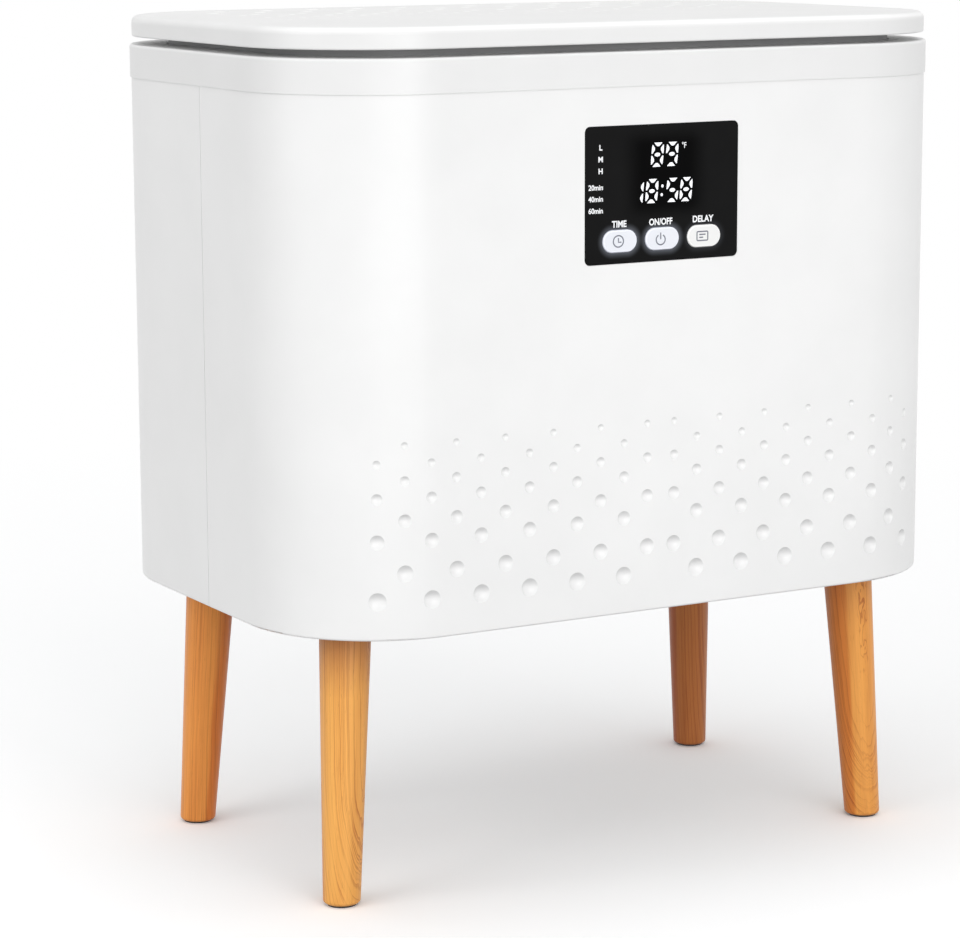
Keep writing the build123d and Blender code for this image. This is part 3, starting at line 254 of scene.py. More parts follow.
def foam(name, colour):
    """Closed-cell foam, with cells of about a millimetre."""
    look = Look(name)
    cells = look.node("TexVoronoi", {"Vector": look.place, "Scale": 900.0})
    # painted shade: the cells darker towards their edges, where the bump sinks
    look.set(Base_Color=look.mix(look.span(cells, 0.1, 0.7), shade(colour, 1.04), shade(colour, 0.84)))
    look.set(Roughness=look.patchy(300, low=0.8, high=0.95))
    look.set(Normal=look.bump(look.math("SUBTRACT", 1.0, cells), 0.25 * MM))
    return look


TRACK_PITCH = 4 * MM
TRACK_EDGE = (1.2 * MM, 1.8 * MM)
TRACK_RISE = 0.15 * MM


def heater_film(name, colour):
    """Silicone film with the flat heating track showing through as low ribs."""
    look = Look(name)
    wander = look.times(look.noise(30), 0.6 * MM)
    height = look.plus(look.axis(UP), wander)
    rib = look.span(look.math("PINGPONG", height, TRACK_PITCH), *TRACK_EDGE, smooth=True)
    look.set(Base_Color=look.mix(rib, colour, shade(colour, 0.62)))
    look.set(Roughness=look.patchy(200, low=0.5, high=0.62))
    weave = look.noise(1400, 2)
    look.set(Normal=look.bump(weave, 0.02 * MM, look.bump(rib, TRACK_RISE)))
    return look


def circuit(name, mask):
    """Solder mask over copper tracks, with tinned pads."""
    look = Look(name)
    grid = look.node("TexBrick", {"Vector": look.place, "Color1": (0, 0, 0), "Color2": (0, 0, 0),
                                  "Mortar": (1, 1, 1), "Scale": 110.0, "Mortar Size": 0.05,
                                  "Brick Width": 0.9, "Row Height": 0.3})
    cells = look.node("TexVoronoi", {"Vector": look.place, "Scale": 170.0})
    pads = look.span(cells, 0.16, 0.2, 1.0, 0.0)
    tracks = look.times(grid, look.span(look.noise(60), 0.45, 0.55))
    copper = look.mix(tracks, mask, shade(mask, 1.7))
    look.set(Base_Color=look.mix(pads, copper, (0.72, 0.70, 0.64)))
    look.set(Metallic=look.times(pads, 0.9), Roughness=look.span(pads, 0, 1, 0.38, 0.25))
    look.set(Normal=look.bump(look.math("MAXIMUM", tracks, pads), 0.04 * MM))
    return look


CORE_PITCH = 0.5 * MM
CORE_GROOVE = 0.18 * MM
EDGE_CORE = (4.9 * MM, 5.0 * MM)
EDGE_RED = (0.5, 0.05, 0.04)


def ribbon(name, colour):
    """Flat cable: parallel cores with a red edge core."""
    look = Look(name)
    across = look.axis(ACROSS)
    groove = look.span(look.math("PINGPONG", across, CORE_PITCH), 0.0, CORE_GROOVE)
    edge = look.span(across, *EDGE_CORE)
    # painted shade: the grooves between the cores darker
    plain = look.mix(groove, shade(colour, 0.55), colour)
    look.set(Base_Color=look.mix(edge, plain, EDGE_RED))
    look.set(Roughness=look.patchy(400, low=0.45, high=0.55))
    look.set(Normal=look.bump(groove, 0.15 * MM))
    return look


BOARD_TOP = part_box("power_capacitors")[0].z
BAND_EDGE = 0.2 * MM


def banded(name, colour, band_colour, low, high):
    """Component case with a printed band or tape between two heights above the power board."""
    look = plastic(name, colour, 0.4, grain=0.4 * MM, depth=0.01 * MM, mottle=0.05)
    start, end = BOARD_TOP + low, BOARD_TOP + high
    inside = look.between(look.axis(UP), (start, start + BAND_EDGE), (end, end + BAND_EDGE))
    case = look.mix(look.patchy(300, 3), shade(colour, 0.9), shade(colour, 1.1))
    look.set(Base_Color=look.mix(inside, case, band_colour))
    return look


EARLY_WOOD = (0.98, 0.455, 0.104)
LATE_WOOD = (0.46, 0.115, 0.024)
HEARTWOOD = (0.84, 0.62, 0.50)      # what is left of the colour in heartwood
PAINTED_SHADE_UNDER_HOUSING = (0.59, 0.49, 0.66)   # and at a leg's top, as painted shade below the housing
PAINTED_SHADE_DEPTH = 33 * MM
LEG_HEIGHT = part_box("base_plate")[0].z
LEG_HIDDEN = 5 * MM         # the end of a leg that the housing's edge hides
RING_PITCH = 2.0 * MM
BEND_HEIGHT = 75 * MM
WAVE = 3.6 * MM             # how far noise shifts the rings: long waves, ripples and squiggles
RIPPLE = 0.8 * MM
SQUIGGLE = 2.6 * MM
GRAZING_SIDE = (1.5 * MM, 6.5 * MM)     # squiggles fade out this far to the side of the pith
GRAZING_OUT = (2 * MM, 6 * MM)          # and come in this far out from the leg's axis
FIGURE_SHARES = {"late": 0.62, "streaks": 0.22, "bands": 0.16, "fibres": 0.14}
FIGURE_RANGES = {"streaks": (0.42, 0.72), "bands": (0.45, 0.75), "fibres": (0.42, 0.7)}
GRAIN_DEPTH = 0.05 * MM


def direction(degrees):
    """Level unit vector at an angle from +X, seen from above."""
    return (math.cos(math.radians(degrees)), math.sin(math.radians(degrees)), 0)


def leg_places(look, foot, top, seed):
    """Coordinates along a leg: across and deep from its axis, and the height; then the height alone."""
    lean = (top - foot) / top.z

    def from_axis(row, shift):
        return look.math("SUBTRACT", look.vector("DOT_PRODUCT", look.place, row, "Value"), shift)

    across = from_axis((1, 0, -lean.x), foot.x)
    deep = from_axis((0, 1, -lean.y), foot.y)
    height = look.axis(UP)
    return look.node("CombineXYZ", {0: across, 1: deep, 2: look.plus(height, seed)}), height


def centred(look, x, z, local, detail=2.0):
    """Noise about 0, alike across and deep, for shifting the rings."""
    return look.math("SUBTRACT", look.grained(x, x, z, local, detail), 0.5)


def year_rings(look, local, height, facing, distance, bend):
    """Darkness of the late wood, 0 to 1, with squiggles where a ring just grazes the surface."""
    low = look.span(height, 0.0, BEND_HEIGHT, 1.0, 0.0)
    nearer = look.times(look.times(low, low), -bend)
    out = look.vector("DOT_PRODUCT", local, direction(facing), "Value")
    side = look.vector("DOT_PRODUCT", local, direction(facing + 90), "Value")
    beside = look.span(look.math("ABSOLUTE", side), *GRAZING_SIDE, 1.0, 0.0, True)
    grazing = look.times(beside, look.span(out, *GRAZING_OUT))
    to_pith = look.plus(out, look.plus(nearer, distance))
    flat = look.node("CombineXYZ", {0: to_pith, 1: side, 2: 0.0})
    radius = look.vector("LENGTH", flat, (0, 0, 0), "Value")
    squiggle = look.times(centred(look, 330, 120, local, 1), grazing)
    radius = look.plus(radius, look.times(centred(look, 45, 9, local), WAVE))
    radius = look.plus(radius, look.times(centred(look, 240, 70, local), RIPPLE))
    radius = look.plus(radius, look.times(squiggle, SQUIGGLE))
    uneven = look.node("TexNoise", {"W": look.times(radius, 210.0), "Detail": 1.0}, noise_dimensions="1D")
    turns = look.plus(look.math("DIVIDE", radius, RING_PITCH), look.times(uneven, 1.3))
    ring = look.math("FRACT", turns)
    late = look.math("POWER", look.span(ring, 0.25, 0.92), 2.4)
    late = look.times(late, look.span(ring, 0.93, 1.0, 1.0, 0.0))
    strength = look.span(look.grained(120, 120, 9, local), 0.35, 0.65, 0.3, 1.0)
    return look.times(late, strength)


def wood(name, foot, top, facing, distance, bend, seed, tint, heart, heart_reach, shade_under_housing):
    """Lacquered wood: year rings about a pith outside the leg, fibres, streaks, pores, heartwood,
    and painted shade at the top.

    facing is the direction, in degrees, of the face that lies away from the pith. The pith comes
    nearer by bend towards the foot, so that the rings close to arches on that face. tint is the
    leg's own tone together with painted light and shade for how much light reaches that leg.
    heart is the direction of the side that is heartwood, and heart_reach the cosine at which it
    begins. The last value is how strongly painted shade darkens the top, below the housing.
    """
    look = Look(name, Coat_Weight=0.12, Coat_Roughness=0.3, Specular_IOR_Level=0.3)
    local, height = leg_places(look, foot, top, seed)
    late = year_rings(look, local, height, facing, distance, bend)
    figure = look.times(late, FIGURE_SHARES["late"])
    layers = {
        "streaks": look.grained(150, 150, 5, local, 3),
        "bands": look.grained(55, 55, 4, local, 2),
        "fibres": look.grained(1500, 1500, 26, local, 4, 0.6),
    }
    for key, layer in layers.items():
        darker = look.span(layer, *FIGURE_RANGES[key])
        figure = look.plus(figure, look.times(darker, FIGURE_SHARES[key]))
    # tint: the leg's own tone with painted light and shade, lighter for the leg in the light and darker and
    # redder for those out of it
    pale = tuple(c * t for c, t in zip(EARLY_WOOD, tint))
    dark = tuple(c * t for c, t in zip(LATE_WOOD, tint))
    body = look.mix(look.math("MINIMUM", figure, 1.0), pale, dark)
    outward = look.vector("NORMALIZE", look.vector("MULTIPLY", local, (1, 1, 0)), (0, 0, 0))
    turned = look.vector("DOT_PRODUCT", outward, direction(heart), "Value")
    ragged = look.times(centred(look, 130, 8, local, 3), 0.7)
    red = look.span(look.plus(turned, ragged), heart_reach - 0.08, heart_reach + 0.12, smooth=True)
    body = look.mix(red, body, look.vector("MULTIPLY", body, HEARTWOOD))
    # painted shade below the housing: the top of each leg darker and redder
    visible_top = LEG_HEIGHT - LEG_HIDDEN
    top_painted_shade = look.span(height, visible_top - PAINTED_SHADE_DEPTH, visible_top, 0.0, shade_under_housing)
    body = look.mix(top_painted_shade, body, look.vector("MULTIPLY", body, PAINTED_SHADE_UNDER_HOUSING))
    pores = look.span(look.grained(2600, 2600, 150, local, 1), 0.70, 0.76)
    look.set(Base_Color=look.mix(look.times(pores, 0.3), body, shade(dark, 0.6)))
    look.set(Roughness=look.span(figure, 0.0, 1.0, 0.38, 0.5))
    relief = look.plus(look.times(late, 0.4), look.times(layers["fibres"], 0.6))
    look.set(Normal=look.bump(relief, GRAIN_DEPTH))
    return look


# ---------------------------------------------------------------- panel places

LENS_LOW, LENS_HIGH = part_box("panel_lens")
BUTTONS = {"time": "time_button", "power": "power_button", "delay": "delay_button"}
BUTTON_WIDTH = 20.2
BUTTON_HEIGHT = 11.3
CAP_RADIUS = BUTTON_HEIGHT / 2 * MM
CAP_OUTLINE = (CAP_RADIUS - 1.1 * MM, CAP_RADIUS - 0.4 * MM)
OUTLINE_GLOW = 0.13         # by how much the outline is brighter than the cap
GLOW = {"time": 1.0, "power": 1.0, "delay": 0.22}
GLOW_COLOUR = (0.80, 0.86, 1.0)
GLOW_REACH = 3.6 * MM
GLOW_FALLOFF = 1.6
GLOW_STRENGTH = 0.13
DARK_MIDDLE = (2.0 * MM, LENS_HIGH.z - 25.0 * MM)   # X and Z of the display's dark zone
DARK_HALF_WIDTH = (13 * MM, 28 * MM)                # where its darkness begins to fade, and ends
DARK_HALF_HEIGHT = (14 * MM, 25 * MM)
LENS_BLACK = (0.0073, 0.0073, 0.0075)
LENS_CLOUD = (0.0085, 0.0085, 0.0087)
DISPLAY_BLACK = (0.0003, 0.0003, 0.0004)
MARK_THICKNESS = 0.05 * MM
SUNK = 0.02 * MM            # how deep a mark is let into the surface that it is printed on


def middle(node):
    """Middle of a node's box."""
    low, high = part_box(node)
    return (low + high) / 2


def front_places(look):
    """X and Z of the place on the object."""
    xyz = look.tree.nodes.new("ShaderNodeSeparateXYZ")
    look.tree.links.new(look.place, xyz.inputs[0])
    return xyz.outputs[ACROSS], xyz.outputs[UP]


def beyond_capsule(look, node):
    """Distance from the core line of a button's capsule, in metres, seen from the front."""
    at = middle(node)
    x, z = front_places(look)
    half_core = (BUTTON_WIDTH - BUTTON_HEIGHT) / 2 * MM
    dx = look.math("ABSOLUTE", look.math("SUBTRACT", x, at.x))
    dx = look.math("MAXIMUM", look.math("SUBTRACT", dx, half_core), 0.0)
    dz = look.math("SUBTRACT", z, at.z)
    return look.math("SQRT", look.plus(look.times(dx, dx), look.times(dz, dz)))


def faded(look, place, centre, limits):
    """1 near a centre line and 0 away from it."""
    off = look.math("ABSOLUTE", look.math("SUBTRACT", place, centre))
    return look.span(off, *limits, 1.0, 0.0, True)


def panel_lens_look():
    """Polished black acrylic, darkest over the display, that glows round the lit buttons."""
    look = Look("look_panel_lens", Roughness=0.16, Specular_IOR_Level=0.05, Emission_Color=GLOW_COLOUR)
    x, z = front_places(look)
    inside = look.times(faded(look, x, DARK_MIDDLE[0], DARK_HALF_WIDTH),
                        faded(look, z, DARK_MIDDLE[1], DARK_HALF_HEIGHT))
    plain = look.mix(look.patchy(60, 3), LENS_BLACK, LENS_CLOUD)
    look.set(Base_Color=look.mix(inside, plain, DISPLAY_BLACK))
    glow = 0.0
    for key, node in BUTTONS.items():
        near = look.span(beyond_capsule(look, node), CAP_RADIUS, CAP_RADIUS + GLOW_REACH, 1.0, 0.0)
        near = look.times(look.math("POWER", near, GLOW_FALLOFF), GLOW_STRENGTH * GLOW[key])
        glow = look.plus(near, glow)
    look.set(Emission_Strength=glow, Normal=look.bump(look.noise(45, 2), 0.01 * MM))
    return look


def button_look(key, colour, lit_colour, glow):
    """Translucent cap lit from behind, with a bright outline."""
    look = plastic(f"look_{key}_button", colour, 0.35, grain=0.4 * MM, depth=0.003 * MM, mottle=0.01)
    outline = look.span(beyond_capsule(look, BUTTONS[key]), *CAP_OUTLINE, glow, glow + OUTLINE_GLOW)
    look.set(Emission_Color=lit_colour, Emission_Strength=outline)
    return look


def printed(name, colour, glow):
    """Printed or lit mark; the ink is a little uneven."""
    look = Look(name, Roughness=0.45)
    cloud = look.patchy(700, 2)
    look.set(Base_Color=look.mix(cloud, shade(colour, 0.93), colour))
    look.set(Emission_Color=colour, Emission_Strength=look.span(cloud, 0, 1, glow * 0.9, glow))
    return look


# ---------------------------------------------------------------- flat marks

def marks_piece(name, marks, look, body):
    """One piece of several flat marks, each a function that adds its faces to a mesh."""
    mesh = bpy.data.meshes.new(name)
    build = bmesh.new()
    for mark in marks:
        mark(build)
    bmesh.ops.recalc_face_normals(build, faces=build.faces)
    build.to_mesh(mesh)
    build.free()
    return finish_piece(name, mesh, look, body)


def finish_piece(name, mesh, look, body):
    """Puts a mesh in the scene with its look, on the body that carries it."""
    piece = bpy.data.objects.new(name, mesh)
    bpy.context.scene.collection.objects.link(piece)
    mesh.materials.clear()
    mesh.materials.append(look.material)
    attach(piece, body)
    return piece


def on_front(x, drop, surface, forward):
    """Point on the panel, from millimetres, at a distance in front of a surface's Y."""
    return Vector((x * MM, surface - forward, LENS_HIGH.z - drop * MM))


def prism(points, surface):
    """Closed flat prism with the given outline."""
    def build(mesh):
        front = [mesh.verts.new(on_front(x, drop, surface, MARK_THICKNESS - SUNK)) for x, drop in points]
        back = [mesh.verts.new(on_front(x, drop, surface, -SUNK)) for x, drop in points]
        mesh.faces.new(front)
        mesh.faces.new(back[::-1])
        count = len(points)
        for i in range(count):
            j = (i + 1) % count
            mesh.faces.new((front[i], back[i], back[j], front[j]))
    return build


def stroke(points, width, surface, closed=False):
    """Line of constant width along the points, as a flat bar; closed joins its ends."""
    def build(mesh):
        count = len(points)
        rails = []
        for i, (x, y) in enumerate(points):
            before = points[i - 1] if closed or i else points[i]
            after = points[(i + 1) % count] if closed or i < count - 1 else points[i]
            run = Vector((after[0] - before[0], after[1] - before[1])).normalized()
            side = Vector((-run.y, run.x)) * width / 2
            rails.append([mesh.verts.new(on_front(x + sign * side.x, y + sign * side.y, surface, forward))
                          for sign in (-1, 1) for forward in (MARK_THICKNESS - SUNK, -SUNK)])
        spans = count if closed else count - 1
        for i in range(spans):
            a, b = rails[i], rails[(i + 1) % count]
            for p, q in ((0, 2), (2, 3), (3, 1), (1, 0)):
                mesh.faces.new((a[p], a[q], b[q], b[p]))
        if not closed:
            mesh.faces.new((rails[0][0], rails[0][1], rails[0][3], rails[0][2]))
            mesh.faces.new((rails[-1][0], rails[-1][2], rails[-1][3], rails[-1][1]))
    return build


def arc(x, y, radius_x, radius_y, start=0.0, end=360.0, count=48):
    """Points on an ellipse's arc; angles in degrees, from the right and clockwise on the panel."""
    closed = end - start >= 360.0
    steps = count if closed else count - 1
    angles = [math.radians(start + (end - start) * i / steps) for i in range(count)]
    return [(x + radius_x * math.cos(a), y + radius_y * math.sin(a)) for a in angles]


def softened(points, radius):
    """Outline with its corners cut to short curves."""
    out = []
    count = len(points)
    for i in range(count):
        here = Vector(points[i])
        for other in (Vector(points[i - 1]), Vector(points[(i + 1) % count])):
            run = other - here
            out.append(tuple(here + run.normalized() * min(radius, run.length * 0.4)))
        tip = (Vector(out[-2]) + Vector(out[-1])) / 2
        out.insert(-1, tuple(tip * 0.4 + here * 0.6))
    return out


# Seven-segment digits: a cell of width 1 and height 1, with the drop measured from the top.
SEGMENTS = {
    "a": [(0.16, 0.0), (0.84, 0.0), (0.67, 0.11), (0.58, 0.155), (0.42, 0.155), (0.33, 0.11)],
    "d": [(0.33, 0.89), (0.42, 0.845), (0.58, 0.845), (0.67, 0.89), (0.84, 1.0), (0.16, 1.0)],
    "f": [(0.03, 0.09), (0.09, 0.10), (0.25, 0.22), (0.25, 0.31), (0.09, 0.455), (0.0, 0.46), (0.0, 0.28)],
    "b": [(0.97, 0.09), (0.91, 0.10), (0.75, 0.22), (0.75, 0.31), (0.91, 0.455), (1.0, 0.46), (1.0, 0.28)],
    "e": [(0.03, 0.91), (0.09, 0.90), (0.25, 0.78), (0.25, 0.69), (0.09, 0.545), (0.0, 0.54), (0.0, 0.72)],
    "c": [(0.97, 0.91), (0.91, 0.90), (0.75, 0.78), (0.75, 0.69), (0.91, 0.545), (1.0, 0.54), (1.0, 0.72)],
}
LIT = {"5": "afgcd", "8": "abcdefg", "9": "abcdfg"}
SLANT = 0.09
DIGIT_WIDTH = 7.2
DIGIT_HEIGHT = 12.2
DIGIT_SOFTNESS = 0.2
OVAL = (DIGIT_WIDTH * 0.235, DIGIT_HEIGHT * 0.08)       # half sizes of the middle segment
ONE_HEIGHT = 10.5
ONE_BARS = ((0.0, 0.46), (0.54, 1.0))
ONE_BULGE = 1.6
ONE_SHOULDER = 1.9
ONE_NOTCH = (0.6, 0.4)
ONE_SOFTNESS = 0.3
TEMPERATURE_DROP = 9.2
TEMPERATURE_DIGITS = (("8", -6.7), ("9", 2.0))          # figure, and X of its left side
CLOCK_DROP = 27.5
ONE_PLACE = (-11.5, 28.8)                               # X of its right side, and its drop
CLOCK_HOUR = ("8", -9.9)
CLOCK_MINUTES = (("5", 2.4), ("8", 10.7))
COLON = ((0.0, 31.3), (-0.4, 35.7))
COLON_DOT = (0.72, 0.8)


def slanted(x, drop, centre):
    """Place in an italic figure, which leans about the drop of its centre."""
    return x + (centre - drop) * SLANT, drop


def digit(figure, left, top):
    """Lit segments of one figure."""
    centre = top + DIGIT_HEIGHT / 2
    segments = []
    for key in LIT[figure]:
        if key == "g":
            outline = arc(left + DIGIT_WIDTH / 2, centre, *OVAL, count=24)
        else:
            corners = [(left + u * DIGIT_WIDTH, top + v * DIGIT_HEIGHT) for u, v in SEGMENTS[key]]
            outline = softened(corners, DIGIT_SOFTNESS)
        segments.append(prism([slanted(x, drop, centre) for x, drop in outline], LENS_LOW.y))
    return segments


def one(right, top):
    """The narrow figure 1, of two bars that bulge to the left."""
    centre = top + ONE_HEIGHT / 2
    notch_x, notch_drop = ONE_NOTCH
    bars = []
    for start, end in ONE_BARS:
        high, low = top + start * ONE_HEIGHT, top + end * ONE_HEIGHT
        outline = [(right, high), (right, low), (right - notch_x, low - notch_drop),
                   (right - ONE_BULGE, low - ONE_SHOULDER), (right - ONE_BULGE, high + ONE_SHOULDER),
                   (right - notch_x, high + notch_drop)]
        outline = softened(outline, ONE_SOFTNESS)
        bars.append(prism([slanted(x, drop, centre) for x, drop in outline], LENS_LOW.y))
    return bars


def display_marks(look):
    """Temperature and clock digits."""
    temperature = []
    for figure, left in TEMPERATURE_DIGITS:
        temperature += digit(figure, left, TEMPERATURE_DROP)
    marks_piece("digits_temperature", temperature, look, "housing")
    clock = one(*ONE_PLACE) + digit(*CLOCK_HOUR, CLOCK_DROP)
    clock += [prism(arc(x, drop, *COLON_DOT, count=20), LENS_LOW.y) for x, drop in COLON]
    for figure, left in CLOCK_MINUTES:
        clock += digit(figure, left, CLOCK_DROP)
    marks_piece("digits_clock", clock, look, "housing")


CAPITAL_SHARE = 0.72        # a capital's height, as a share of the font's size
WORDS = (                   # piece, words, X and drop of the middle, height, stretch, added weight
    ("mark_low", "L", -36.8, 10.6, 2.75, 1.0, 0.12),
    ("mark_medium", "M", -36.8, 16.5, 2.75, 1.0, 0.12),
    ("mark_high", "H", -36.8, 22.4, 2.75, 1.0, 0.12),
    ("mark_20_min", "20min", -39.6, 30.5, 2.7, 0.93, 0.09),
    ("mark_40_min", "40min", -39.6, 36.3, 2.7, 0.93, 0.09),
    ("mark_60_min", "60min", -39.6, 42.2, 2.7, 0.93, 0.09),
    ("mark_time", "TIME", -25.7, 49.5, 3.3, 0.88, 0.14),
    ("mark_on_off", "ON/OFF", -0.9, 49.5, 3.3, 0.84, 0.14),
    ("mark_delay", "DELAY", 24.6, 49.3, 3.3, 0.91, 0.14),
    ("mark_degree", "°F", 12.9, 11.3, 2.9, 0.80, 0.06),
)


def text_piece(name, words, x, drop, height, stretch, weight, look):
    """Flat lettering whose middle is at a place on the panel."""
    curve = bpy.data.curves.new(name, "FONT")
    curve.body = words
    curve.align_x = "CENTER"
    curve.align_y = "CENTER"
    curve.size = height / CAPITAL_SHARE * MM
    curve.offset = weight * MM
    curve.extrude = MARK_THICKNESS / 2
    curve.resolution_u = 4
    stand_in = bpy.data.objects.new(name + "_curve", curve)
    bpy.context.scene.collection.objects.link(stand_in)
    bpy.context.view_layer.update()
    mesh = bpy.data.meshes.new_from_object(stand_in.evaluated_get(bpy.context.evaluated_depsgraph_get()))
    bpy.data.objects.remove(stand_in)
    mesh.transform(Matrix.Diagonal((stretch, 1, 1, 1)))
    mesh.transform(Matrix.Rotation(math.pi / 2, 4, "X"))
    mesh.transform(Matrix.Translation(on_front(x, drop, LENS_LOW.y, MARK_THICKNESS / 2 - SUNK)))
    return finish_piece(name, mesh, look, "housing")


def panel_words(look):
    """The lettering on the panel."""
    for row in WORDS:
        text_piece(*row, look)


ICON_LINE = 0.66
ICON_SHIFT = -1.1           # the icons stand a little left of their caps' middle


def clock_icon(x, drop, line):
    return [line(arc(x, drop, 3.0, 2.9), True),
            line([(x, drop - 1.7), (x, drop + 0.5), (x + 1.8, drop + 0.5)])]


def power_icon(x, drop, line):
    return [line(arc(x, drop + 0.5, 2.7, 2.6, -60, 240)),
            line([(x, drop - 3.1), (x, drop + 0.3)])]


def list_icon(x, drop, line):
    corners = [(x - 3.3, drop - 2.3), (x + 3.3, drop - 2.3), (x + 3.3, drop + 2.3), (x - 3.3, drop + 2.3)]
    return [line(softened(corners, 0.6), True),
            line([(x - 1.9, drop - 0.8), (x + 1.9, drop - 0.8)]),
            line([(x - 1.9, drop + 0.7), (x + 0.5, drop + 0.7)])]


ICONS = {"time": clock_icon, "power": power_icon, "delay": list_icon}


def button_icons(look):
    """The icons on the three caps, each riding on its button's body."""
    for key, node in BUTTONS.items():
        at = middle(node)
        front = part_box(node)[0].y

        def line(points, closed=False):
            return stroke(points, ICON_LINE, front, closed)

        marks = ICONS[key](at.x / MM + ICON_SHIFT, (LENS_HIGH.z - at.z) / MM, line)
        marks_piece("icon_" + key, marks, look, key + "_key")


# ---------------------------------------------------------------- dressing the nodes

LEG_ENDS = {
    "leg_front_left": (-1, -1), "leg_front_right": (1, -1),
    "leg_rear_left": (-1, 1), "leg_rear_right": (1, 1),
}
LEG_FIGURE = {      # facing, pith's distance, bend, seed, tint of own tone with painted light and shade, heartwood's side and reach, painted shade below the housing
    "leg_front_left": (-38, 0.022, 0.013, 0.0, (1.02, 1.07, 1.08), 146, 0.90, 1.0),
    "leg_front_right": (-96, 0.022, 0.016, 1.3, (1.02, 0.98, 0.92), 186, 0.78, 0.45),
    "leg_rear_left": (-29, 0.040, 0.002, 2.7, (0.98, 0.82, 0.74), -34, 0.62, 0.0),
    "leg_rear_right": (-35, 0.045, 0.002, 4.1, (0.56, 0.41, 0.45), 155, 0.80, 0.0),
}
FOOT_PAD_RADIUS = 7.5 * MM
LEG_SPLAY = 8.0 * MM        # a foot's step outwards from the leg's top, in X and in Y
COVER_LOW, COVER_HIGH = (corner.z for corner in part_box("front_cover"))
WALL_DIMPLES = {            # where the painted shade in the walls' dimples comes in and goes out, by height
    "rise": (COVER_LOW + 8 * MM, COVER_LOW + 9 * MM),
    "fall": (COVER_HIGH - 0.3 * MM, COVER_HIGH),
}
LID_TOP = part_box("lid_shell")[1].z
# where the painted shade and painted light in the lid's dimples come in and go out, by height
LID_DIMPLES = {
    "rise": (LID_TOP - 2.6 * MM, LID_TOP - 1.6 * MM),
    "fall": (LID_TOP + 0.7 * MM, LID_TOP + 1 * MM),
}
# One white plastic, painted a little lighter on the covers and darker on the lid and rim, as painted light
# and shade for how the light falls on them.
COVER_WHITE_PAINTED_LIGHTER = (0.90, 0.90, 0.898)
LID_WHITE_PAINTED_DARKER = (0.85, 0.85, 0.848)
BANDS = {                   # look, colour, its band's colour, and the band's heights above the board
    "power_capacitors": ("look_capacitors", (0.015, 0.02, 0.03), (0.45, 0.46, 0.47), 12.2 * MM, 14 * MM),
    "power_transformer": ("look_transformer", (0.04, 0.04, 0.045), (0.75, 0.50, 0.05), 2 * MM, 7 * MM),
    "terminal_block": ("look_terminal_block", (0.02, 0.16, 0.07), (0.03, 0.20, 0.09), 0.0, 3 * MM),
}
LIT_CAP = ((0.765, 0.78, 0.825), (0.80, 0.84, 1.0), 0.09)      # colour, its light, and how much
DIM_CAP = ((0.85, 0.85, 0.845), (1.0, 1.0, 0.98), 0.03)


def leg_look(node):
    """Wood whose figure follows the leg from its foot pad to its top."""
    sign_x, sign_y = LEG_ENDS[node]
    pads_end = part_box("foot_pads")[1]
    foot = Vector((sign_x * (pads_end.x - FOOT_PAD_RADIUS), sign_y * (pads_end.y - FOOT_PAD_RADIUS), 0))
    top = Vector((foot.x - sign_x * LEG_SPLAY, foot.y - sign_y * LEG_SPLAY, LEG_HEIGHT))
    return wood("look_" + node, foot, top, *LEG_FIGURE[node])


def slot_looks():
    """One look for each material slot of the record, but for wood, buttons and the lens."""
    return {
        # the covers in the white painted lighter, as painted light, with painted shade in their dimples
        "white_shell": dimpled_with_painted_shade("look_white_shell", COVER_WHITE_PAINTED_LIGHTER, UP, 0.84, 0.91, **WALL_DIMPLES),
        "white_inner": plastic("look_white_inner", (0.83, 0.83, 0.825), 0.5, 0.6 * MM, 0.01 * MM),
        "zinc_steel": brushed("look_zinc_steel", (0.68, 0.69, 0.70), 0.32, (900, 900, 900)),
        "bucket_aluminium": brushed("look_bucket_aluminium", (0.80, 0.81, 0.82), 0.34, (1500, 1500, 14)),
        "heater_foil": heater_film("look_heater_foil", (0.52, 0.12, 0.03)),
        "felt": felt("look_felt", (0.66, 0.64, 0.58)),
        "foam": foam("look_foam", (0.80, 0.80, 0.77)),
        "thermostat": plastic("look_thermostat", (0.055, 0.048, 0.042), 0.45, 0.8 * MM, 0.02 * MM, 0.3),
        "soft_rubber": rubber("look_soft_rubber", (0.035, 0.035, 0.036)),
        "brass_insert": brushed("look_brass_insert", (0.72, 0.50, 0.20), 0.3, (120, 120, 2600)),
        "black_plastic": plastic("look_black_plastic", (0.018, 0.018, 0.019), 0.5, 0.5 * MM, 0.02 * MM, 0.2),
        "circuit_board": circuit("look_circuit_board", (0.012, 0.085, 0.030)),
        "component_case": plastic("look_component_case", (0.02, 0.035, 0.07), 0.4, 0.5 * MM, 0.01 * MM, 0.1),
        "lamp": plastic("look_lamp", (0.85, 0.86, 0.83), 0.2, 0.3 * MM, 0.005 * MM, 0.05),
        "ribbon_grey": ribbon("look_ribbon_grey", (0.34, 0.34, 0.34)),
        "hinge_steel": brushed("look_hinge_steel", (0.72, 0.72, 0.73), 0.3, (40, 1600, 1600)),
        "collar_grey": plastic("look_collar_grey", (0.34, 0.34, 0.345), 0.5, 0.6 * MM, 0.02 * MM, 0.03),
    }


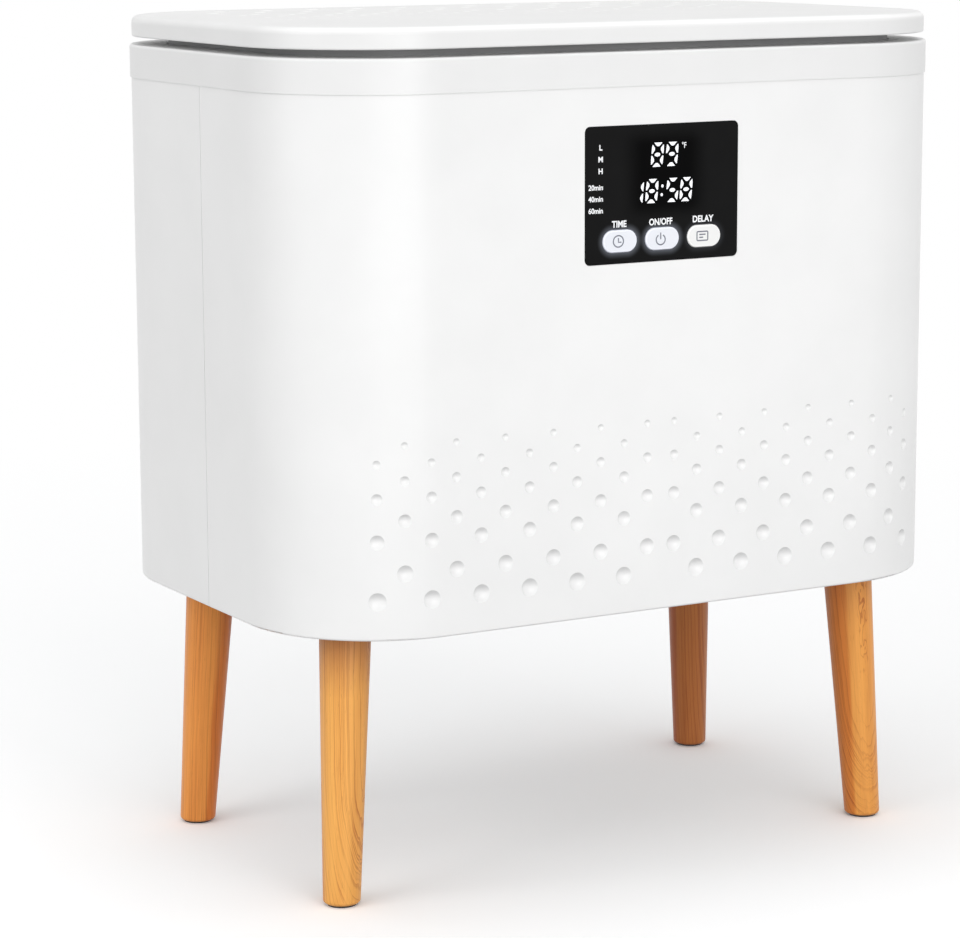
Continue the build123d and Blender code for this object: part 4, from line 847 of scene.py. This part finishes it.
def own_looks():
    """Looks of nodes that differ from the rest of their slot."""
    looks = {node: leg_look(node) for node in LEG_ENDS}
    # the rim and lid in the white painted darker, as painted shade; the lid's dimples also carry painted
    # shade and light
    looks["rim_ring"] = plastic("look_rim", LID_WHITE_PAINTED_DARKER, SHELL_ROUGHNESS)
    looks["lid_shell"] = dimpled_with_painted_shade("look_lid", LID_WHITE_PAINTED_DARKER, DEEP, 0.91, 1.13, **LID_DIMPLES)
    looks["panel_lens"] = panel_lens_look()
    looks["time_button"] = button_look("time", *LIT_CAP)
    looks["power_button"] = button_look("power", *LIT_CAP)
    looks["delay_button"] = button_look("delay", *DIM_CAP)
    for node, row in BANDS.items():
        looks[node] = banded(*row)
    return looks


def dress_nodes():
    """Gives each node its own look, or else its slot's."""
    slots = slot_looks()
    own = own_looks()
    for name, obj in NODES.items():
        look = own.get(name) or slots[SLOT_OF[name]]
        obj.data.materials.clear()
        obj.data.materials.append(look.material)


# ---------------------------------------------------------------- stage and lights

FLOOR_RADIUS = 60.0
FLOOR_SHADE = 0.35
FLOOR_SEEN = 1.15                   # the same, brightened for what looks at the floor directly
FLOOR_TINT = (0.995, 1.0, 1.005)    # against the warm light that the legs throw on it
FADE_START, FADE_END = 0.55, 1.3    # distances over which the floor turns white
AMBIENT = 0.735
LAMP_TARGET = (0, 0, 0.3)
PANEL_TARGET = (0.03, -0.13, 0.33)
SUN_ANGLE = math.radians(50)
LAMPS = (                           # name, kind, place, target, energy, and what else is set
    ("high_glow", "SUN", (-0.10, -1.0, 1.15), LAMP_TARGET, 0.28, {"angle": SUN_ANGLE}),
    ("low_glow", "SUN", (0.10, -1.0, 0.58), LAMP_TARGET, 0.285, {"angle": SUN_ANGLE}),
    ("left_softbox", "AREA", (-1.9, -0.2, 0.9), LAMP_TARGET, 8.7, {"size": 1.2}),
    ("front_softbox", "AREA", (-0.5, -1.7, 0.45), LAMP_TARGET, 4.85, {"size": 1.0}),
    ("front_spot", "AREA", (0.1, -1.6, 0.5), PANEL_TARGET, 0.16, {"size": 0.5, "spread": math.radians(25)}),
)


def seen_directly(tree):
    """Output that is 1 for camera, glossy and transmission rays."""
    path = tree.nodes.new("ShaderNodeLightPath")
    total = path.outputs["Is Camera Ray"]
    for name in ("Is Glossy Ray", "Is Transmission Ray"):
        larger = tree.nodes.new("ShaderNodeMath")
        larger.operation = "MAXIMUM"
        tree.links.new(total, larger.inputs[0])
        tree.links.new(path.outputs[name], larger.inputs[1])
        total = larger.outputs[0]
    return total


def spanned(tree, value, limits, results):
    """Output that runs between two results as the value runs between two limits."""
    span = tree.nodes.new("ShaderNodeMapRange")
    for name, number in zip(("From Min", "From Max", "To Min", "To Max"), limits + results):
        span.inputs[name].default_value = number
    tree.links.new(value, span.inputs["Value"])
    return span.outputs[0]


def floor_material():
    """Matt and pale near the object, where it keeps the shadows, and white farther out."""
    material = bpy.data.materials.new("look_floor")
    material.use_nodes = True
    tree = material.node_tree
    tree.nodes.clear()
    output = tree.nodes.new("ShaderNodeOutputMaterial")
    seen = seen_directly(tree)
    matt = tree.nodes.new("ShaderNodeBsdfDiffuse")
    tinted = tree.nodes.new("ShaderNodeVectorMath")
    tinted.operation = "MULTIPLY"
    tinted.inputs[1].default_value = FLOOR_TINT
    tree.links.new(spanned(tree, seen, (0, 1), (FLOOR_SHADE, FLOOR_SEEN)), tinted.inputs[0])
    tree.links.new(tinted.outputs[0], matt.inputs["Color"])
    white = tree.nodes.new("ShaderNodeEmission")
    place = tree.nodes.new("ShaderNodeTexCoord")
    away = tree.nodes.new("ShaderNodeVectorMath")
    away.operation = "LENGTH"
    tree.links.new(place.outputs["Object"], away.inputs[0])
    fade = tree.nodes.new("ShaderNodeMath")
    fade.operation = "MULTIPLY"
    tree.links.new(spanned(tree, away.outputs["Value"], (FADE_START, FADE_END), (0, 1)), fade.inputs[0])
    tree.links.new(seen, fade.inputs[1])
    mix = tree.nodes.new("ShaderNodeMixShader")
    for source, socket in zip((fade, matt, white), mix.inputs):
        tree.links.new(source.outputs[0], socket)
    tree.links.new(mix.outputs[0], output.inputs["Surface"])
    return material


def make_floor():
    """Wide round floor under the object."""
    mesh = bpy.data.meshes.new("floor")
    build = bmesh.new()
    bmesh.ops.create_circle(build, cap_ends=True, segments=96, radius=FLOOR_RADIUS)
    build.to_mesh(mesh)
    build.free()
    mesh.materials.append(floor_material())
    floor = bpy.data.objects.new("floor", mesh)
    bpy.context.scene.collection.objects.link(floor)


def make_world():
    """Even pale surroundings, white where they are seen directly or in a reflection."""
    world = bpy.data.worlds.new("world")
    bpy.context.scene.world = world
    world.use_nodes = True
    tree = world.node_tree
    tree.nodes.clear()
    output = tree.nodes.new("ShaderNodeOutputWorld")
    background = tree.nodes.new("ShaderNodeBackground")
    background.inputs["Color"].default_value = (1, 1, 1, 1)
    tree.links.new(spanned(tree, seen_directly(tree), (0, 1), (AMBIENT, 1.0)), background.inputs["Strength"])
    tree.links.new(background.outputs[0], output.inputs["Surface"])


def make_lamp(name, kind, place, target, energy, values):
    """Lamp at a place that points at a target; only the direction matters for a sun."""
    data = bpy.data.lights.new(name, kind)
    data.energy = energy
    for key, value in values.items():
        setattr(data, key, value)
    lamp = bpy.data.objects.new(name, data)
    lamp.location = place
    lamp.rotation_mode = "QUATERNION"
    lamp.rotation_quaternion = (Vector(place) - Vector(target)).to_track_quat("Z", "Y")
    bpy.context.scene.collection.objects.link(lamp)


def make_stage():
    """Floor, surroundings and lamps."""
    make_floor()
    make_world()
    for row in LAMPS:
        make_lamp(*row)
    bpy.context.scene.view_settings.view_transform = "Standard"


make_camera()
dress_nodes()
white_ink = printed("look_white_ink", (0.92, 0.93, 0.95), 0.12)
lit = printed("look_lit_segment", (0.95, 0.96, 1.0), 0.25)
icon_ink = printed("look_icon_ink", (0.17, 0.18, 0.225), 0.0)
display_marks(lit)
panel_words(white_ink)
button_icons(icon_ink)
make_stage()
